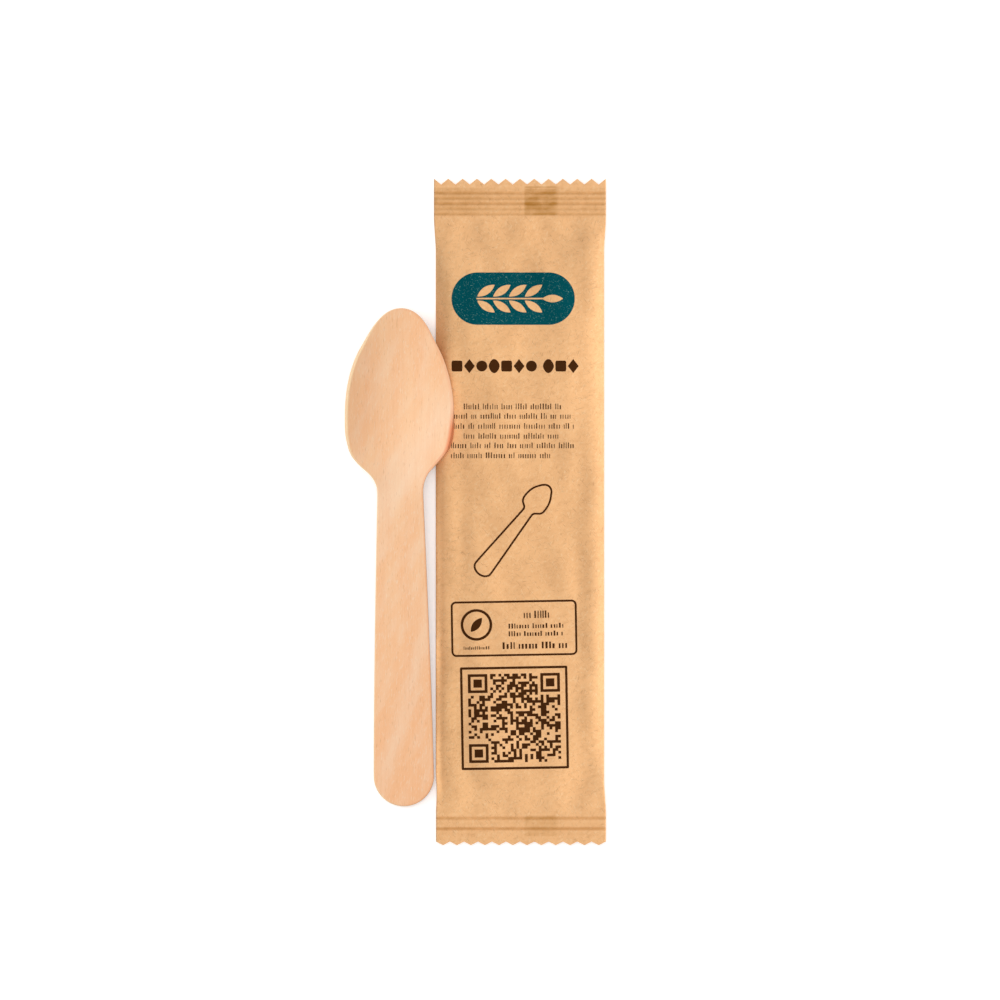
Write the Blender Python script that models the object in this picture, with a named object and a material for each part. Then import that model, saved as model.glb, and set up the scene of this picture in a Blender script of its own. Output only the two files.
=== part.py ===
"""A kraft paper sachet and the wooden teaspoon that it is packed with, lying on a table.

The sachet is a sealed pillow pack: a paper tube with a flat fin seam down its back, crimped shut
at both ends, where a toothed knife has cut it off. The teaspoon is one piece of pressed birch
veneer. It lies to the left with the rim of its bowl over the sachet's edge.

Metres. +X is across the pack, +Y runs from the handle to the tip of the spoon, +Z is up from the
table. The origin is the middle of the pair's footprint, on the table.
"""

import math

import bmesh
import bpy
import numpy as np

# Teaspoon: lengths are measured from the tip of the bowl
SPOON_LENGTH = 0.1100
VENEER_THICKNESS = 0.0016
BOWL_WIDTH = 0.02425
BOWL_WIDEST_AT = 0.0245
BOWL_DEPTH = 0.0042
TIP_RADIUS = 0.0055
NECK_WIDTH = 0.01016
NECK_AT = 0.0415
DISH_RUN_OUT = 0.0035
HANDLE_WIDTH = 0.0133
HANDLE_SWELL = 1.3
TIP_LEAN = 0.0006
TIP_LEAN_LENGTH = 0.0065
SHOULDER_AT = 0.0345
SHOULDER_LEAN = 0.00045
SHOULDER_LEAN_LENGTH = 0.0030

# The bowl's edge, as shares of the way and of the half width, from the tip to its widest place
BOWL_FRONT_SHARES = ((0, 0), (0.07, 0.337), (0.15, 0.476), (0.28, 0.63), (0.46, 0.813), (0.65, 0.93), (1, 1))
# The same from there to the neck, as shares of the half width that the bowl has over the neck
BOWL_BACK_SHARES = ((0, 1), (0.27, 0.955), (0.46, 0.775), (0.59, 0.497), (0.72, 0.185), (0.83, 0.045), (1, 0))

# Sachet: its paper tube, flattened, and what fills it
SACHET_LENGTH = 0.1473
SACHET_WIDTH = 0.0380
BODY_INSET = 0.0004
BODY_INSET_LENGTH = 0.0080
BODY_HEIGHT = 0.0032
BULGE_HEIGHT = 0.0022
BULGE_FROM_TOP = 0.0370
BULGE_LENGTH = 0.0180
CROWN_FULLNESS = 2.6
CROWN_EDGE = 0.8
LOFT_LENGTH = 0.0200
CREASE_FROM_EDGE = 0.0062
CREASE_WIDTH = 0.0020
CREASE_DEPTH = 0.00022
GATHER_COUNT = 5
GATHER_DEPTH = 0.00018
GATHER_LENGTH = 0.0060

# End seals: two layers of paper pressed between ribbed jaws
SEAL_HEIGHT = 0.0012
SEAL_THICKNESS = 0.00035
CRIMP_PITCH = 0.00116
CRIMP_DEPTH = 0.0003
TOP_CRIMP_COUNT = 5
BOTTOM_CRIMP_COUNT = 4
TOP_SEAL_MARGIN = 0.0014
BOTTOM_SEAL_MARGIN = 0.0013
TOOTH_COUNT = 12
TOP_TOOTH_DEPTH = 0.0011
BOTTOM_TOOTH_DEPTH = 0.0008

# Fin seam: the tube's two edges, sealed together and folded flat against the back
FIN_WIDTH = 0.0070
FIN_OFFSET = 0.0046
FIN_THICKNESS = 0.00025
BACK_FLAT_SHARE = 0.72
BACK_LOFT_LENGTH = 0.0120

# How the spoon lies by the sachet
TIP_BELOW_TOP = 0.0287
HANDLE_GAP = 0.0004
SPOON_TURN_DEGREES = 0.70
CLEARANCE = 0.0003

# Rows and columns of the meshes
BOWL_ROWS = 28
HANDLE_ROWS = 14
SPOON_COLUMNS = 12
BODY_ROW_SPACING = 0.0045
CUT_ROW = 0.0003
EDGE_COLUMN = 0.0004

# Beside the spoon's outline, the room left under it rises this steeply
FLANK_SLOPE = 4.0
# Widths are taken as no less than this at the two ends of the outline
LEAST_WIDTH = 1e-5
MERGE = 1e-6


def smooth_curve(points, at, start_slope=0.0):
    """Cubic curve through the points, level at the last one and with the given slope at the first."""
    x, y = np.array(points).T
    slope = np.gradient(y, x)
    slope[0], slope[-1] = start_slope, 0.0
    i = np.clip(np.searchsorted(x, at, side="right") - 1, 0, len(x) - 2)
    span = x[i + 1] - x[i]
    u = (at - x[i]) / span
    return (
        y[i] * (1 + 2 * u) * (1 - u) ** 2
        + y[i + 1] * u**2 * (3 - 2 * u)
        + slope[i] * span * u * (1 - u) ** 2
        - slope[i + 1] * span * u**2 * (1 - u)
    )


def ease(share):
    """0 to 1 with level ends."""
    share = np.clip(share, 0.0, 1.0)
    return share * share * (3 - 2 * share)


def bump(distance, width):
    return np.exp(-((distance / width) ** 2))


def spoon_half_width(t):
    """Half the spoon's width at a distance t from its tip: bowl, neck, handle and round end.

    The front of the bowl is drawn as the square of its width, which makes the tip a true arc.
    """
    bowl, neck, handle = BOWL_WIDTH / 2, NECK_WIDTH / 2, HANDLE_WIDTH / 2
    front = [(share, width**2) for share, width in BOWL_FRONT_SHARES]
    tip_slope = 2 * TIP_RADIUS * BOWL_WIDEST_AT / bowl**2
    squared = smooth_curve(front, np.clip(t / BOWL_WIDEST_AT, 0, 1), tip_slope)
    fore = bowl * np.sqrt(np.clip(squared, 0, None))
    back_share = np.clip((t - BOWL_WIDEST_AT) / (NECK_AT - BOWL_WIDEST_AT), 0, 1)
    back = neck + (bowl - neck) * smooth_curve(BOWL_BACK_SHARES, back_share)
    end_centre = SPOON_LENGTH - handle
    along = np.clip((t - NECK_AT) / (end_centre - NECK_AT), 0, 1)
    shaft = neck + (handle - neck) * (1 - (1 - along) ** HANDLE_SWELL)
    past = np.clip(t - end_centre, 0, handle)
    shaft = np.where(past > 0, np.sqrt(handle**2 - past**2), shaft)
    return np.where(t < BOWL_WIDEST_AT, fore, np.where(t < NECK_AT, back, shaft))


def spoon_centre(t):
    """How far the middle of the outline lies to one side: the blank isn't quite even."""
    tip = TIP_LEAN * bump(t, TIP_LEAN_LENGTH)
    return tip - SHOULDER_LEAN * bump(t - SHOULDER_AT, SHOULDER_LEAN_LENGTH)


def spoon_underside(x, t):
    """Height of the spoon's underside as it lies, resting on its bowl and on its handle's end.

    The press pushes the middle of the bowl down and leaves its rim in the handle's plane. That
    plane then slopes down to the end of the handle.
    """
    fore = 1 - (1 - t / BOWL_WIDEST_AT) ** 2
    dish_end = NECK_AT + DISH_RUN_OUT
    back = np.cos(np.clip((t - BOWL_WIDEST_AT) / (dish_end - BOWL_WIDEST_AT), 0, 1) * math.pi / 2) ** 2
    pressed = np.where(t < BOWL_WIDEST_AT, np.clip(fore, 0, 1), back)
    width = np.maximum(spoon_half_width(t), LEAST_WIDTH)
    across = np.clip(np.abs(x - spoon_centre(t)) / width, 0, 1)
    slope = (t - BOWL_WIDEST_AT) / (SPOON_LENGTH - BOWL_WIDEST_AT)
    return BOWL_DEPTH * (1 - pressed * (1 - across**2) - slope)


def spoon_points():
    """The underside as a grid of points, in the spoon's own frame: its tip is at y = 0, at the top."""
    bowl_rows = NECK_AT * (1 - np.cos(np.linspace(0, math.pi, BOWL_ROWS + 1))) / 2
    handle_share = np.sin(np.linspace(0, math.pi / 2, HANDLE_ROWS + 1))[1:]
    t = np.concatenate([bowl_rows, NECK_AT + (SPOON_LENGTH - NECK_AT) * handle_share])[:, None]
    across = np.sin(np.linspace(-1, 1, SPOON_COLUMNS + 1) * math.pi / 2)[None, :]
    x = spoon_centre(t) + across * spoon_half_width(t)
    z = spoon_underside(x, t)
    return np.stack([x, np.broadcast_to(-t, x.shape), z - z.min()], axis=-1)


def spoon_turn():
    return math.radians(SPOON_TURN_DEGREES)


def handle_end_x():
    """The handle's end lies a small gap to the left of the sachet's body."""
    return -(SACHET_WIDTH / 2 - BODY_INSET + HANDLE_GAP + HANDLE_WIDTH / 2)


def spoon_place():
    """Where the spoon's tip is in the sachet's frame, with the spoon turned about its handle's end."""
    reach = SPOON_LENGTH - HANDLE_WIDTH / 2
    return handle_end_x() - reach * math.sin(spoon_turn()), SACHET_LENGTH / 2 - TIP_BELOW_TOP


def room_under_spoon(x, y):
    """How high the sachet may rise at a point before it meets the spoon that lies over its edge."""
    tip_x, tip_y = spoon_place()
    cos, sin = math.cos(spoon_turn()), math.sin(spoon_turn())
    own_x = cos * (x - tip_x) + sin * (y - tip_y)
    t = sin * (x - tip_x) - cos * (y - tip_y)
    t_in = np.clip(t, 0, SPOON_LENGTH)
    beside = np.abs(own_x - spoon_centre(t_in)) - spoon_half_width(t_in)
    outside = np.clip(np.hypot(np.clip(beside, 0, None), t - t_in), 0, None)
    return spoon_underside(own_x, t_in) + FLANK_SLOPE * outside - CLEARANCE


def tooth_cut(x, first_tip, depth):
    """How far the zigzag edge is cut back from its tips, which are a pitch apart from first_tip on."""
    pitch = SACHET_WIDTH / TOOTH_COUNT
    from_tip = ((x - first_tip) / pitch + 0.5) % 1 - 0.5
    return 2 * depth * np.abs(from_tip)


def bottom_seal_line():
    return -SACHET_LENGTH / 2 + BOTTOM_TOOTH_DEPTH + BOTTOM_SEAL_MARGIN + BOTTOM_CRIMP_COUNT * CRIMP_PITCH


def top_seal_line():
    return SACHET_LENGTH / 2 - TOP_TOOTH_DEPTH - TOP_SEAL_MARGIN - TOP_CRIMP_COUNT * CRIMP_PITCH


def crimp_ribs(count):
    """Rows for one seal, counted out from its line: a crest, then a groove and a crest for each rib."""
    step = np.arange(2 * count + 1)
    return step * CRIMP_PITCH / 2, np.where(step % 2 == 0, 1.0, -1.0) * CRIMP_DEPTH / 2


def sachet_rows():
    """Rows from the bottom end to the top end: how far along each is, and how much it is ribbed.

    The first and last rows are cut to the zigzag later.
    """
    half = SACHET_LENGTH / 2
    low_step, low_rib = crimp_ribs(BOTTOM_CRIMP_COUNT)
    high_step, high_rib = crimp_ribs(TOP_CRIMP_COUNT)
    low, high = bottom_seal_line() - low_step[::-1], top_seal_line() + high_step
    span = high[0] - low[-1]
    count = max(int(round(span / BODY_ROW_SPACING)), 8)
    body = low[-1] + span * np.linspace(0, 1, count + 1)[1:-1]
    cuts = -half + BOTTOM_TOOTH_DEPTH + CUT_ROW, half - TOP_TOOTH_DEPTH - CUT_ROW
    y = np.concatenate([[-half, cuts[0]], low, body, high, [cuts[1], half]])
    rib = np.concatenate([[0, 0], low_rib[::-1], 0 * body, high_rib, [0, 0]])
    return y, rib


def sachet_columns():
    """Columns from left to right: one for each tooth tip and valley, with more at folds and edges."""
    half = SACHET_WIDTH / 2
    teeth = np.linspace(-half, half, 2 * TOOTH_COUNT + 1)
    sides = np.array([-half + EDGE_COLUMN, half - EDGE_COLUMN])
    fin = FIN_OFFSET + np.array([-1, 1]) * FIN_WIDTH / 2
    steps = FIN_OFFSET + np.array([-1, 1]) * (FIN_WIDTH / 2 + FIN_THICKNESS)
    return np.unique(np.round(np.concatenate([teeth, sides, fin, steps]), 7))


def sachet_faces():
    """Upper and lower faces of the sachet in its own frame, as two grids of points.

    Along the pack, loft goes from 0 at a seal to 1 in the body. Across it, both faces leave the
    side folds at the seals' height. The upper one crowns over the spoon inside, highest over its
    bowl, with a crease along each side and small gathers by the seals. It yields where the loose
    spoon's bowl lies over its edge. The lower one is flat but for the fin, which lies on the table.
    """
    y, rib = sachet_rows()
    column = sachet_columns()
    half = SACHET_WIDTH / 2
    y, rib, x = y[:, None], rib[:, None], column[None, :]
    inside = np.clip(np.minimum(y - bottom_seal_line(), top_seal_line() - y), 0, None)
    share = np.abs(x) / half
    x = x * (1 - BODY_INSET / half * ease(inside / BODY_INSET_LENGTH))

    loft = ease(inside / LOFT_LENGTH)
    bulge = BULGE_HEIGHT * bump(y - (SACHET_LENGTH / 2 - BULGE_FROM_TOP), BULGE_LENGTH)
    crown = np.clip(1 - share**CROWN_FULLNESS, 0, None) ** CROWN_EDGE
    seal_top, seal_back = SEAL_HEIGHT + SEAL_THICKNESS / 2, SEAL_HEIGHT - SEAL_THICKNESS / 2
    crease = CREASE_DEPTH * bump(np.abs(x) - (half - CREASE_FROM_EDGE), CREASE_WIDTH) * loft
    by_seal = ease(inside / CRIMP_PITCH) * np.exp(-inside / GATHER_LENGTH)
    gather = GATHER_DEPTH * np.cos(GATHER_COUNT * math.pi * x / half) * by_seal * crown
    upper = seal_top + (BODY_HEIGHT + bulge - seal_top) * loft * crown - crease + gather
    upper = np.minimum(upper, room_under_spoon(x, y))

    flat = ease((1 - share) / (1 - BACK_FLAT_SHARE)) * ease(inside / BACK_LOFT_LENGTH)
    lower = np.minimum(seal_back - (seal_back - FIN_THICKNESS) * flat, upper - SEAL_THICKNESS)
    on_fin = np.abs(column - FIN_OFFSET) < FIN_WIDTH / 2 + FIN_THICKNESS / 2
    lower = lower - FIN_THICKNESS * on_fin

    ends = np.broadcast_to(y, lower.shape).copy()
    ends[-1] -= tooth_cut(column, half, TOP_TOOTH_DEPTH)
    pitch = SACHET_WIDTH / TOOTH_COUNT
    ends[0] += tooth_cut(column, half - pitch / 2, BOTTOM_TOOTH_DEPTH)
    return np.stack([x, ends, upper + rib], axis=-1), np.stack([x, ends, lower + rib], axis=-1)


def grid_quads(rows, columns, start=0):
    """Quads of a grid of points, facing up where rows run along +Y and columns along +X."""
    first = np.arange(rows - 1)[:, None] * columns + np.arange(columns - 1)[None, :] + start
    quads = np.stack([first, first + 1, first + columns + 1, first + columns], axis=-1)
    return quads.reshape(-1, 4)


def wall_quads(rows, columns):
    """Quads that close the rim between an upper grid and the lower one whose points follow it."""
    grid = np.arange(rows * columns).reshape(rows, columns)
    rim = np.concatenate([grid[0, :-1], grid[:-1, -1], grid[-1, :0:-1], grid[:0:-1, 0]])
    ahead = np.roll(rim, -1)
    below = rows * columns
    return np.stack([rim, rim + below, ahead + below, ahead], axis=1)


def material(name, colour, roughness):
    made = bpy.data.materials.new(name)
    made.use_nodes = True
    shader = made.node_tree.nodes["Principled BSDF"]
    shader.inputs["Base Color"].default_value = (*colour, 1.0)
    shader.inputs["Roughness"].default_value = roughness
    shader.inputs["Metallic"].default_value = 0.0
    return made


def new_object(name, points, quads, made_of):
    mesh = bpy.data.meshes.new(name)
    mesh.from_pydata(points.reshape(-1, 3).tolist(), [], quads.tolist())
    edit = bmesh.new()
    edit.from_mesh(mesh)
    bmesh.ops.remove_doubles(edit, verts=edit.verts[:], dist=MERGE)
    bmesh.ops.dissolve_degenerate(edit, edges=edit.edges[:], dist=MERGE)
    edit.to_mesh(mesh)
    edit.free()
    mesh.shade_smooth()
    mesh.set_sharp_from_angle(angle=math.radians(35))
    mesh.materials.append(made_of)
    made = bpy.data.objects.new(name, mesh)
    bpy.context.scene.collection.objects.link(made)
    return made


def make_teaspoon(parent):
    """The veneer's underside, given its thickness upwards along its own normals."""
    points = spoon_points()
    rows, columns = points.shape[:2]
    upward = grid_quads(rows, columns)[:, ::-1]
    spoon = new_object("teaspoon", points, upward, material("birch_veneer", (0.90, 0.56, 0.30), 0.6))
    sheet = spoon.modifiers.new("veneer", "SOLIDIFY")
    sheet.thickness = VENEER_THICKNESS
    sheet.offset = 1.0
    sheet.use_even_offset = True
    spoon.parent = parent
    spoon.location = (*spoon_place(), 0.0)
    spoon.rotation_euler.z = spoon_turn()
    return spoon


def make_sachet(parent):
    upper, lower = sachet_faces()
    rows, columns = upper.shape[:2]
    below = grid_quads(rows, columns, rows * columns)[:, ::-1]
    quads = np.concatenate([grid_quads(rows, columns), below, wall_quads(rows, columns)])
    points = np.concatenate([upper.reshape(-1, 3), lower.reshape(-1, 3)])
    sachet = new_object("sachet", points, quads, material("kraft_paper", (0.80, 0.47, 0.23), 0.85))
    sachet.parent = parent
    return sachet


def footprint_middle():
    """The middle of the pair's footprint in the sachet's frame."""
    points = spoon_points().reshape(-1, 3)
    tip_x, tip_y = spoon_place()
    turned = points[:, 0] * math.cos(spoon_turn()) - points[:, 1] * math.sin(spoon_turn())
    return (tip_x + turned.min() + SACHET_WIDTH / 2) / 2


def main():
    for old in list(bpy.data.objects):
        bpy.data.objects.remove(old, do_unlink=True)
    pair = bpy.data.objects.new("pair", None)
    bpy.context.scene.collection.objects.link(pair)
    pair.location = (-footprint_middle(), 0.0, 0.0)
    make_teaspoon(pair)
    make_sachet(pair)


main()
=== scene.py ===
# %% [markdown]
# # A kraft paper sachet and its wooden teaspoon
#
# Two solids come in as a fixed frame: a sealed paper sachet, and a pressed wooden spoon that lies
# with the rim of its bowl over the sachet's edge. This lesson gives both their real surfaces. Each
# shape is a height above the table, worked out for whole arrays of points at once, so that paper,
# seam and ink share one formula and can't drift apart.

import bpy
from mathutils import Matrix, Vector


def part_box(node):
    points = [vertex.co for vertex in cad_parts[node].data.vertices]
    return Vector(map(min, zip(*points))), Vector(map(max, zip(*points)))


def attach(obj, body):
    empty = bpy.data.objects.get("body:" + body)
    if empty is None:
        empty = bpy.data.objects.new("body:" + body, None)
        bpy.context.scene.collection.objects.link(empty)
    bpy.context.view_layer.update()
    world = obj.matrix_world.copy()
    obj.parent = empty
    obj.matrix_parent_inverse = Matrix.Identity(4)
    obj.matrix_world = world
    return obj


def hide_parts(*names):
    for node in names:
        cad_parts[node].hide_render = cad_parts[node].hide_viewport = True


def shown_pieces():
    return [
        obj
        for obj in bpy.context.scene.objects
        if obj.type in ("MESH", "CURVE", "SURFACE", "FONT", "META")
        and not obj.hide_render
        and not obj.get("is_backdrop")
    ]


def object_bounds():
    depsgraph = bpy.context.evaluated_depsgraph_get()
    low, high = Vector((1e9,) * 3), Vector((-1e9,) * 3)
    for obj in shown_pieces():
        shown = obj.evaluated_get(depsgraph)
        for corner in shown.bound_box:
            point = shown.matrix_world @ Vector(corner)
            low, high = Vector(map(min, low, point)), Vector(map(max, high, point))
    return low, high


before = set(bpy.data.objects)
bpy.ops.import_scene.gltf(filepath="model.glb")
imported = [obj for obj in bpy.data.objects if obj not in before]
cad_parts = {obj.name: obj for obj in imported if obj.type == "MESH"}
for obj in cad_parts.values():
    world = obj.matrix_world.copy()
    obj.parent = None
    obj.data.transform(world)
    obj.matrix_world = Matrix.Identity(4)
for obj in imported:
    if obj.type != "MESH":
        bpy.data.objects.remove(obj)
cad_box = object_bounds()
print("the frame has", len(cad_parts), "solids")

# %% [markdown]
# The frame is in metres, as Blender is. The sizes below are in millimetres, as one would measure
# them on the real object, and each mesh is scaled when it is made. The sachet's formulas count from
# its own middle, so its place in the frame is needed too.

# %% Modules, units and the sachet's place
import math

import bmesh
import bpy
import numpy as np

MM = 0.001
sachet_low, sachet_high = (np.array(corner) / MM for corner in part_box("sachet"))
sachet_x = (sachet_low[0] + sachet_high[0]) / 2
print(f"the sachet's middle is at x {sachet_x:.2f} mm")

# %% [markdown]
# ## Lattices
#
# Every mesh here is a lattice of points, rows along a piece and columns across it. A lattice can
# also wrap round, as a rim does. A sheet with a thickness is two lattices, an upper and a lower
# one, joined by a wall round their border. Quads are listed so that they face away from the piece.


# %% Quads of a lattice
def lattice(rows, columns, wrap_rows=False, wrap_columns=False):
    """Quads of a lattice numbered row by row, facing up when rows run to +Y and columns to +X."""
    row = np.arange(rows if wrap_rows else rows - 1)[:, None]
    column = np.arange(columns if wrap_columns else columns - 1)[None, :]
    next_row, next_column = (row + 1) % rows, (column + 1) % columns
    corners = ((row, column), (row, next_column), (next_row, next_column), (next_row, column))
    return np.stack([r * columns + c for r, c in corners], axis=-1).reshape(-1, 4)


def sheet(upper, lower):
    """Points and quads of a closed sheet between two lattices of shape (rows, columns, 3)."""
    rows, columns = upper.shape[:2]
    count = rows * columns
    index = np.arange(count).reshape(rows, columns)
    border = np.concatenate([index[0, :-1], index[:-1, -1], index[-1, :0:-1], index[:0:-1, 0]])
    ahead = np.roll(border, -1)
    wall = np.stack([border, border + count, ahead + count, ahead], axis=1)
    face = lattice(rows, columns)
    points = np.concatenate([upper.reshape(-1, 3), lower.reshape(-1, 3)])
    return points, np.concatenate([face, face[:, ::-1] + count, wall])


def joined(parts):
    """Several pairs of points and quads as one."""
    starts = np.cumsum([0] + [len(points) for points, _ in parts[:-1]])
    quads = [quads + start for (_, quads), start in zip(parts, starts)]
    return np.concatenate([points for points, _ in parts]), np.concatenate(quads)


print("a lattice of 3 rows and 4 columns has", len(lattice(3, 4)), "quads")

# %% [markdown]
# ## From a lattice to an object
#
# Where a lattice narrows to a pole or meets itself at a seam, it repeats points. Merging them
# closes the mesh. Each piece rides on the model's one body and takes its finishes.

# %% Objects
MERGE = 1e-7
SHARP_FROM = math.radians(38)


def make_piece(name, points, quads, finishes, slot, finish_of_quad=None, tone=None):
    """A mesh object from points in millimetres. Tone is a number for each point, kept on the mesh."""
    mesh = bpy.data.meshes.new(name)
    mesh.from_pydata((points * MM).tolist(), [], quads.tolist())
    for finish in finishes:
        mesh.materials.append(finish)
    if finish_of_quad is not None:
        mesh.polygons.foreach_set("material_index", finish_of_quad)
    if tone is not None:
        mesh.attributes.new("tone", "FLOAT", "POINT").data.foreach_set("value", tone)
    edit = bmesh.new()
    edit.from_mesh(mesh)
    bmesh.ops.remove_doubles(edit, verts=edit.verts[:], dist=MERGE)
    bmesh.ops.dissolve_degenerate(edit, edges=edit.edges[:], dist=MERGE)
    edit.to_mesh(mesh)
    edit.free()
    mesh.shade_smooth()
    mesh.set_sharp_from_angle(angle=SHARP_FROM)
    made = bpy.data.objects.new(name, mesh)
    bpy.context.scene.collection.objects.link(made)
    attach(made, "root")
    print(f"{name}: {len(mesh.vertices)} points, {len(mesh.polygons)} faces")
    return made


# %% [markdown]
# ## Curves
#
# Three curves draw nearly everything: an ease that starts and ends level, a bell for dents and
# bulges, and a smooth line through a few measured points.


# %% The three curves
def ease(share):
    """3s^2 - 2s^3: 0 to 1 with level ends."""
    share = np.clip(share, 0.0, 1.0)
    return share * share * (3 - 2 * share)


def bump(distance, width):
    """A bell, 1 at its middle: e to the power of minus (distance / width) squared."""
    return np.exp(-((distance / width) ** 2))


def smooth_curve(points, at, start_slope=0.0):
    """Cubic Hermite curve through (x, y) points, level at the last one.

    Between two points it is y0(1 + 2u)(1 - u)^2 + y1 u^2(3 - 2u), plus the end slopes' share.
    """
    x, y = np.array(points).T
    slope = np.gradient(y, x)
    slope[0], slope[-1] = start_slope, 0.0
    i = np.clip(np.searchsorted(x, at, side="right") - 1, 0, len(x) - 2)
    span = x[i + 1] - x[i]
    u = (at - x[i]) / span
    through = y[i] * (1 + 2 * u) * (1 - u) ** 2 + y[i + 1] * u**2 * (3 - 2 * u)
    return through + span * u * (1 - u) * (slope[i] * (1 - u) - slope[i + 1] * u)


print(f"a quarter of the way, an ease is {ease(0.25):.2f} and a bell {bump(0.25, 1.0):.2f}")

# %% [markdown]
# ## The camera
#
# The pair was photographed from straight above. A long lens from far off hardly enlarges what
# stands higher, so each edge keeps its place in the picture to within a pixel.

# %% Camera
PHOTO_WIDTH = 220.9
PHOTO_AIM = (5.46, 2.64)
LENS = 400.0
SENSOR = 36.0
RIM_HEIGHT = 2.5
FARTHEST_SEEN = 20.0

camera_data = bpy.data.cameras.new("camera")
camera_data.lens = LENS
camera_data.sensor_width = SENSOR
camera_data.clip_end = FARTHEST_SEEN
camera = bpy.data.objects.new("camera", camera_data)
camera.location = np.array([*PHOTO_AIM, RIM_HEIGHT + PHOTO_WIDTH * LENS / SENSOR]) * MM
bpy.context.scene.collection.objects.link(camera)
bpy.context.scene.camera = camera
bpy.context.scene.view_settings.view_transform = "Standard"
print(f"the camera is {camera.location.z:.3f} m above the table")

# %% [markdown]
# ## Tools for finishes
#
# One function adds a node, sets its values and links what feeds it. Colours are written as they
# look on a screen, in sRGB hex, and made linear.


# %% Nodes and colours
def linear(hex_colour):
    """An sRGB hex colour as linear red, green, blue and alpha."""
    value = np.array([int(hex_colour[i : i + 2], 16) for i in (1, 3, 5)]) / 255
    value = np.where(value <= 0.04045, value / 12.92, ((value + 0.055) / 1.055) ** 2.4)
    return (*value.tolist(), 1.0)


def add(tree, kind, values=None, links=None):
    """Adds a node. Values set its inputs, by name or number, or its own settings. Links feed inputs."""
    node = tree.nodes.new(kind)
    for name, value in (values or {}).items():
        if isinstance(name, str) and hasattr(node, name):
            setattr(node, name, value)
    for name, value in (values or {}).items():
        if not (isinstance(name, str) and hasattr(node, name)):
            node.inputs[name].default_value = linear(value) if isinstance(value, str) else value
    for name, source in (links or {}).items():
        tree.links.new(source, node.inputs[name])
    return node


print("mid grey becomes", round(linear("#808080")[0], 3), "in linear light")

# %% [markdown]
# Each finish starts with an empty tree. Every pattern in it is scaled in millimetres, because the
# object's own coordinates are multiplied by 1000 first: a noise of scale 2 then has grains of half
# a millimetre.


# %% Finish and place
def new_finish(name):
    """A material with an empty tree, and its output."""
    made = bpy.data.materials.new(name)
    made.use_nodes = True
    tree = made.node_tree
    tree.nodes.clear()
    return made, tree, add(tree, "ShaderNodeOutputMaterial")


def place_in_mm(tree):
    """The object's own coordinates in millimetres."""
    place = add(tree, "ShaderNodeTexCoord").outputs["Object"]
    scaled = {"operation": "SCALE", "Scale": 1 / MM}
    return add(tree, "ShaderNodeVectorMath", scaled, {0: place}).outputs[0]


# %% [markdown]
# Fibres, pores and blotches are all one pattern: noise whose grains are stretched in one
# direction, cut between two levels so that only its peaks remain. A finish is a colour with
# several such layers over it, each with its own tint.


# %% Grains of noise
def grains(tree, place, length, width, turn, low, high, detail=1.0, seed=0.0):
    """Noise with grains of a length and a width in millimetres, their length turned from +X.

    Levels from low to high become 0 to 1, and all below is 0.
    """
    turned = {"vector_type": "TEXTURE", "Rotation": (0, 0, math.radians(turn))}
    turned["Scale"] = (length, width, length)
    turned["Location"] = (seed, seed, seed)
    mapped = add(tree, "ShaderNodeMapping", turned, {"Vector": place}).outputs[0]
    noise = add(tree, "ShaderNodeTexNoise", {"Scale": 1.0, "Detail": detail}, {"Vector": mapped})
    cut = {"From Min": low, "From Max": high}
    return add(tree, "ShaderNodeMapRange", cut, {"Value": noise.outputs[0]}).outputs[0]


def tinted(tree, base, colour, amount, most=1.0):
    """A base colour, mixed towards another by an amount from 0 to 1 times the most it may be."""
    amount = add(tree, "ShaderNodeMath", {"operation": "MULTIPLY", 1: most}, {0: amount}).outputs[0]
    values = {"data_type": "RGBA", 7: colour}
    links = {0: amount}
    if isinstance(base, str):
        values[6] = base
    else:
        links[6] = base
    return add(tree, "ShaderNodeMix", values, links).outputs[2]


def layered(tree, place, colour, layers, strength=1.0):
    """A colour under layers of grains. A layer is its tint, its amount and what grains takes."""
    for tint, amount, *sizes in layers:
        colour = tinted(tree, colour, tint, grains(tree, place, *sizes), amount * strength)
    return colour


# %% [markdown]
# ## Kraft paper
#
# The sachet is machine-glazed kraft paper: unbleached softwood pulp, pressed smooth on one side
# and left matt. It looks light brown and slightly cloudy, with short fibres lying every way, some
# darker and some paler than the sheet. Real fibres are about 0.03 mm wide, and are drawn 0.14 mm
# wide here, so that they show. Where the sealing jaws have pressed it, the paper is denser and
# looks darker, and the mesh carries that as its tone. In the grooves the tone is also painted
# shade.

# %% Colours and layers of the paper
PAPER = "#f8c087"
PAPER_DARK = "#d29a64"
PAPER_PALE = "#fcd6a6"
# Pressed paper, and painted shade in the grooves of the seals.
PAPER_PRESSED_AND_SHADE = "#b57b30"
PAPER_FIBRE = "#965f38"
PAPER_ROUGHNESS = 0.78
PAPER_SHINE = 0.3
DARK_FIBRE, PALE_FIBRE = (PAPER_FIBRE, 0.34, 1.5, 0.14), (PAPER_PALE, 0.4, 1.4, 0.14)
FIBRE_CUT, PALE_TURN = (0.66, 0.74, 1.0), 40
# Turn of the dark fibres, and the seeds of the dark and the pale ones.
FIBRE_TURNS = ((12, 3.0, 5.0), (74, 10.0, 16.0), (131, 17.0, 27.0))
UNEVEN_SHARE, UNEVEN_GRAINS = 0.4, (2.6, 1.2, 8, 0.3, 0.56, 4.0, 31.0)
FELT_SCALE, FELT_DETAIL, FELT_STRENGTH = 1.6, 3.0, 0.18
RELIEF = 0.0001
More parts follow.
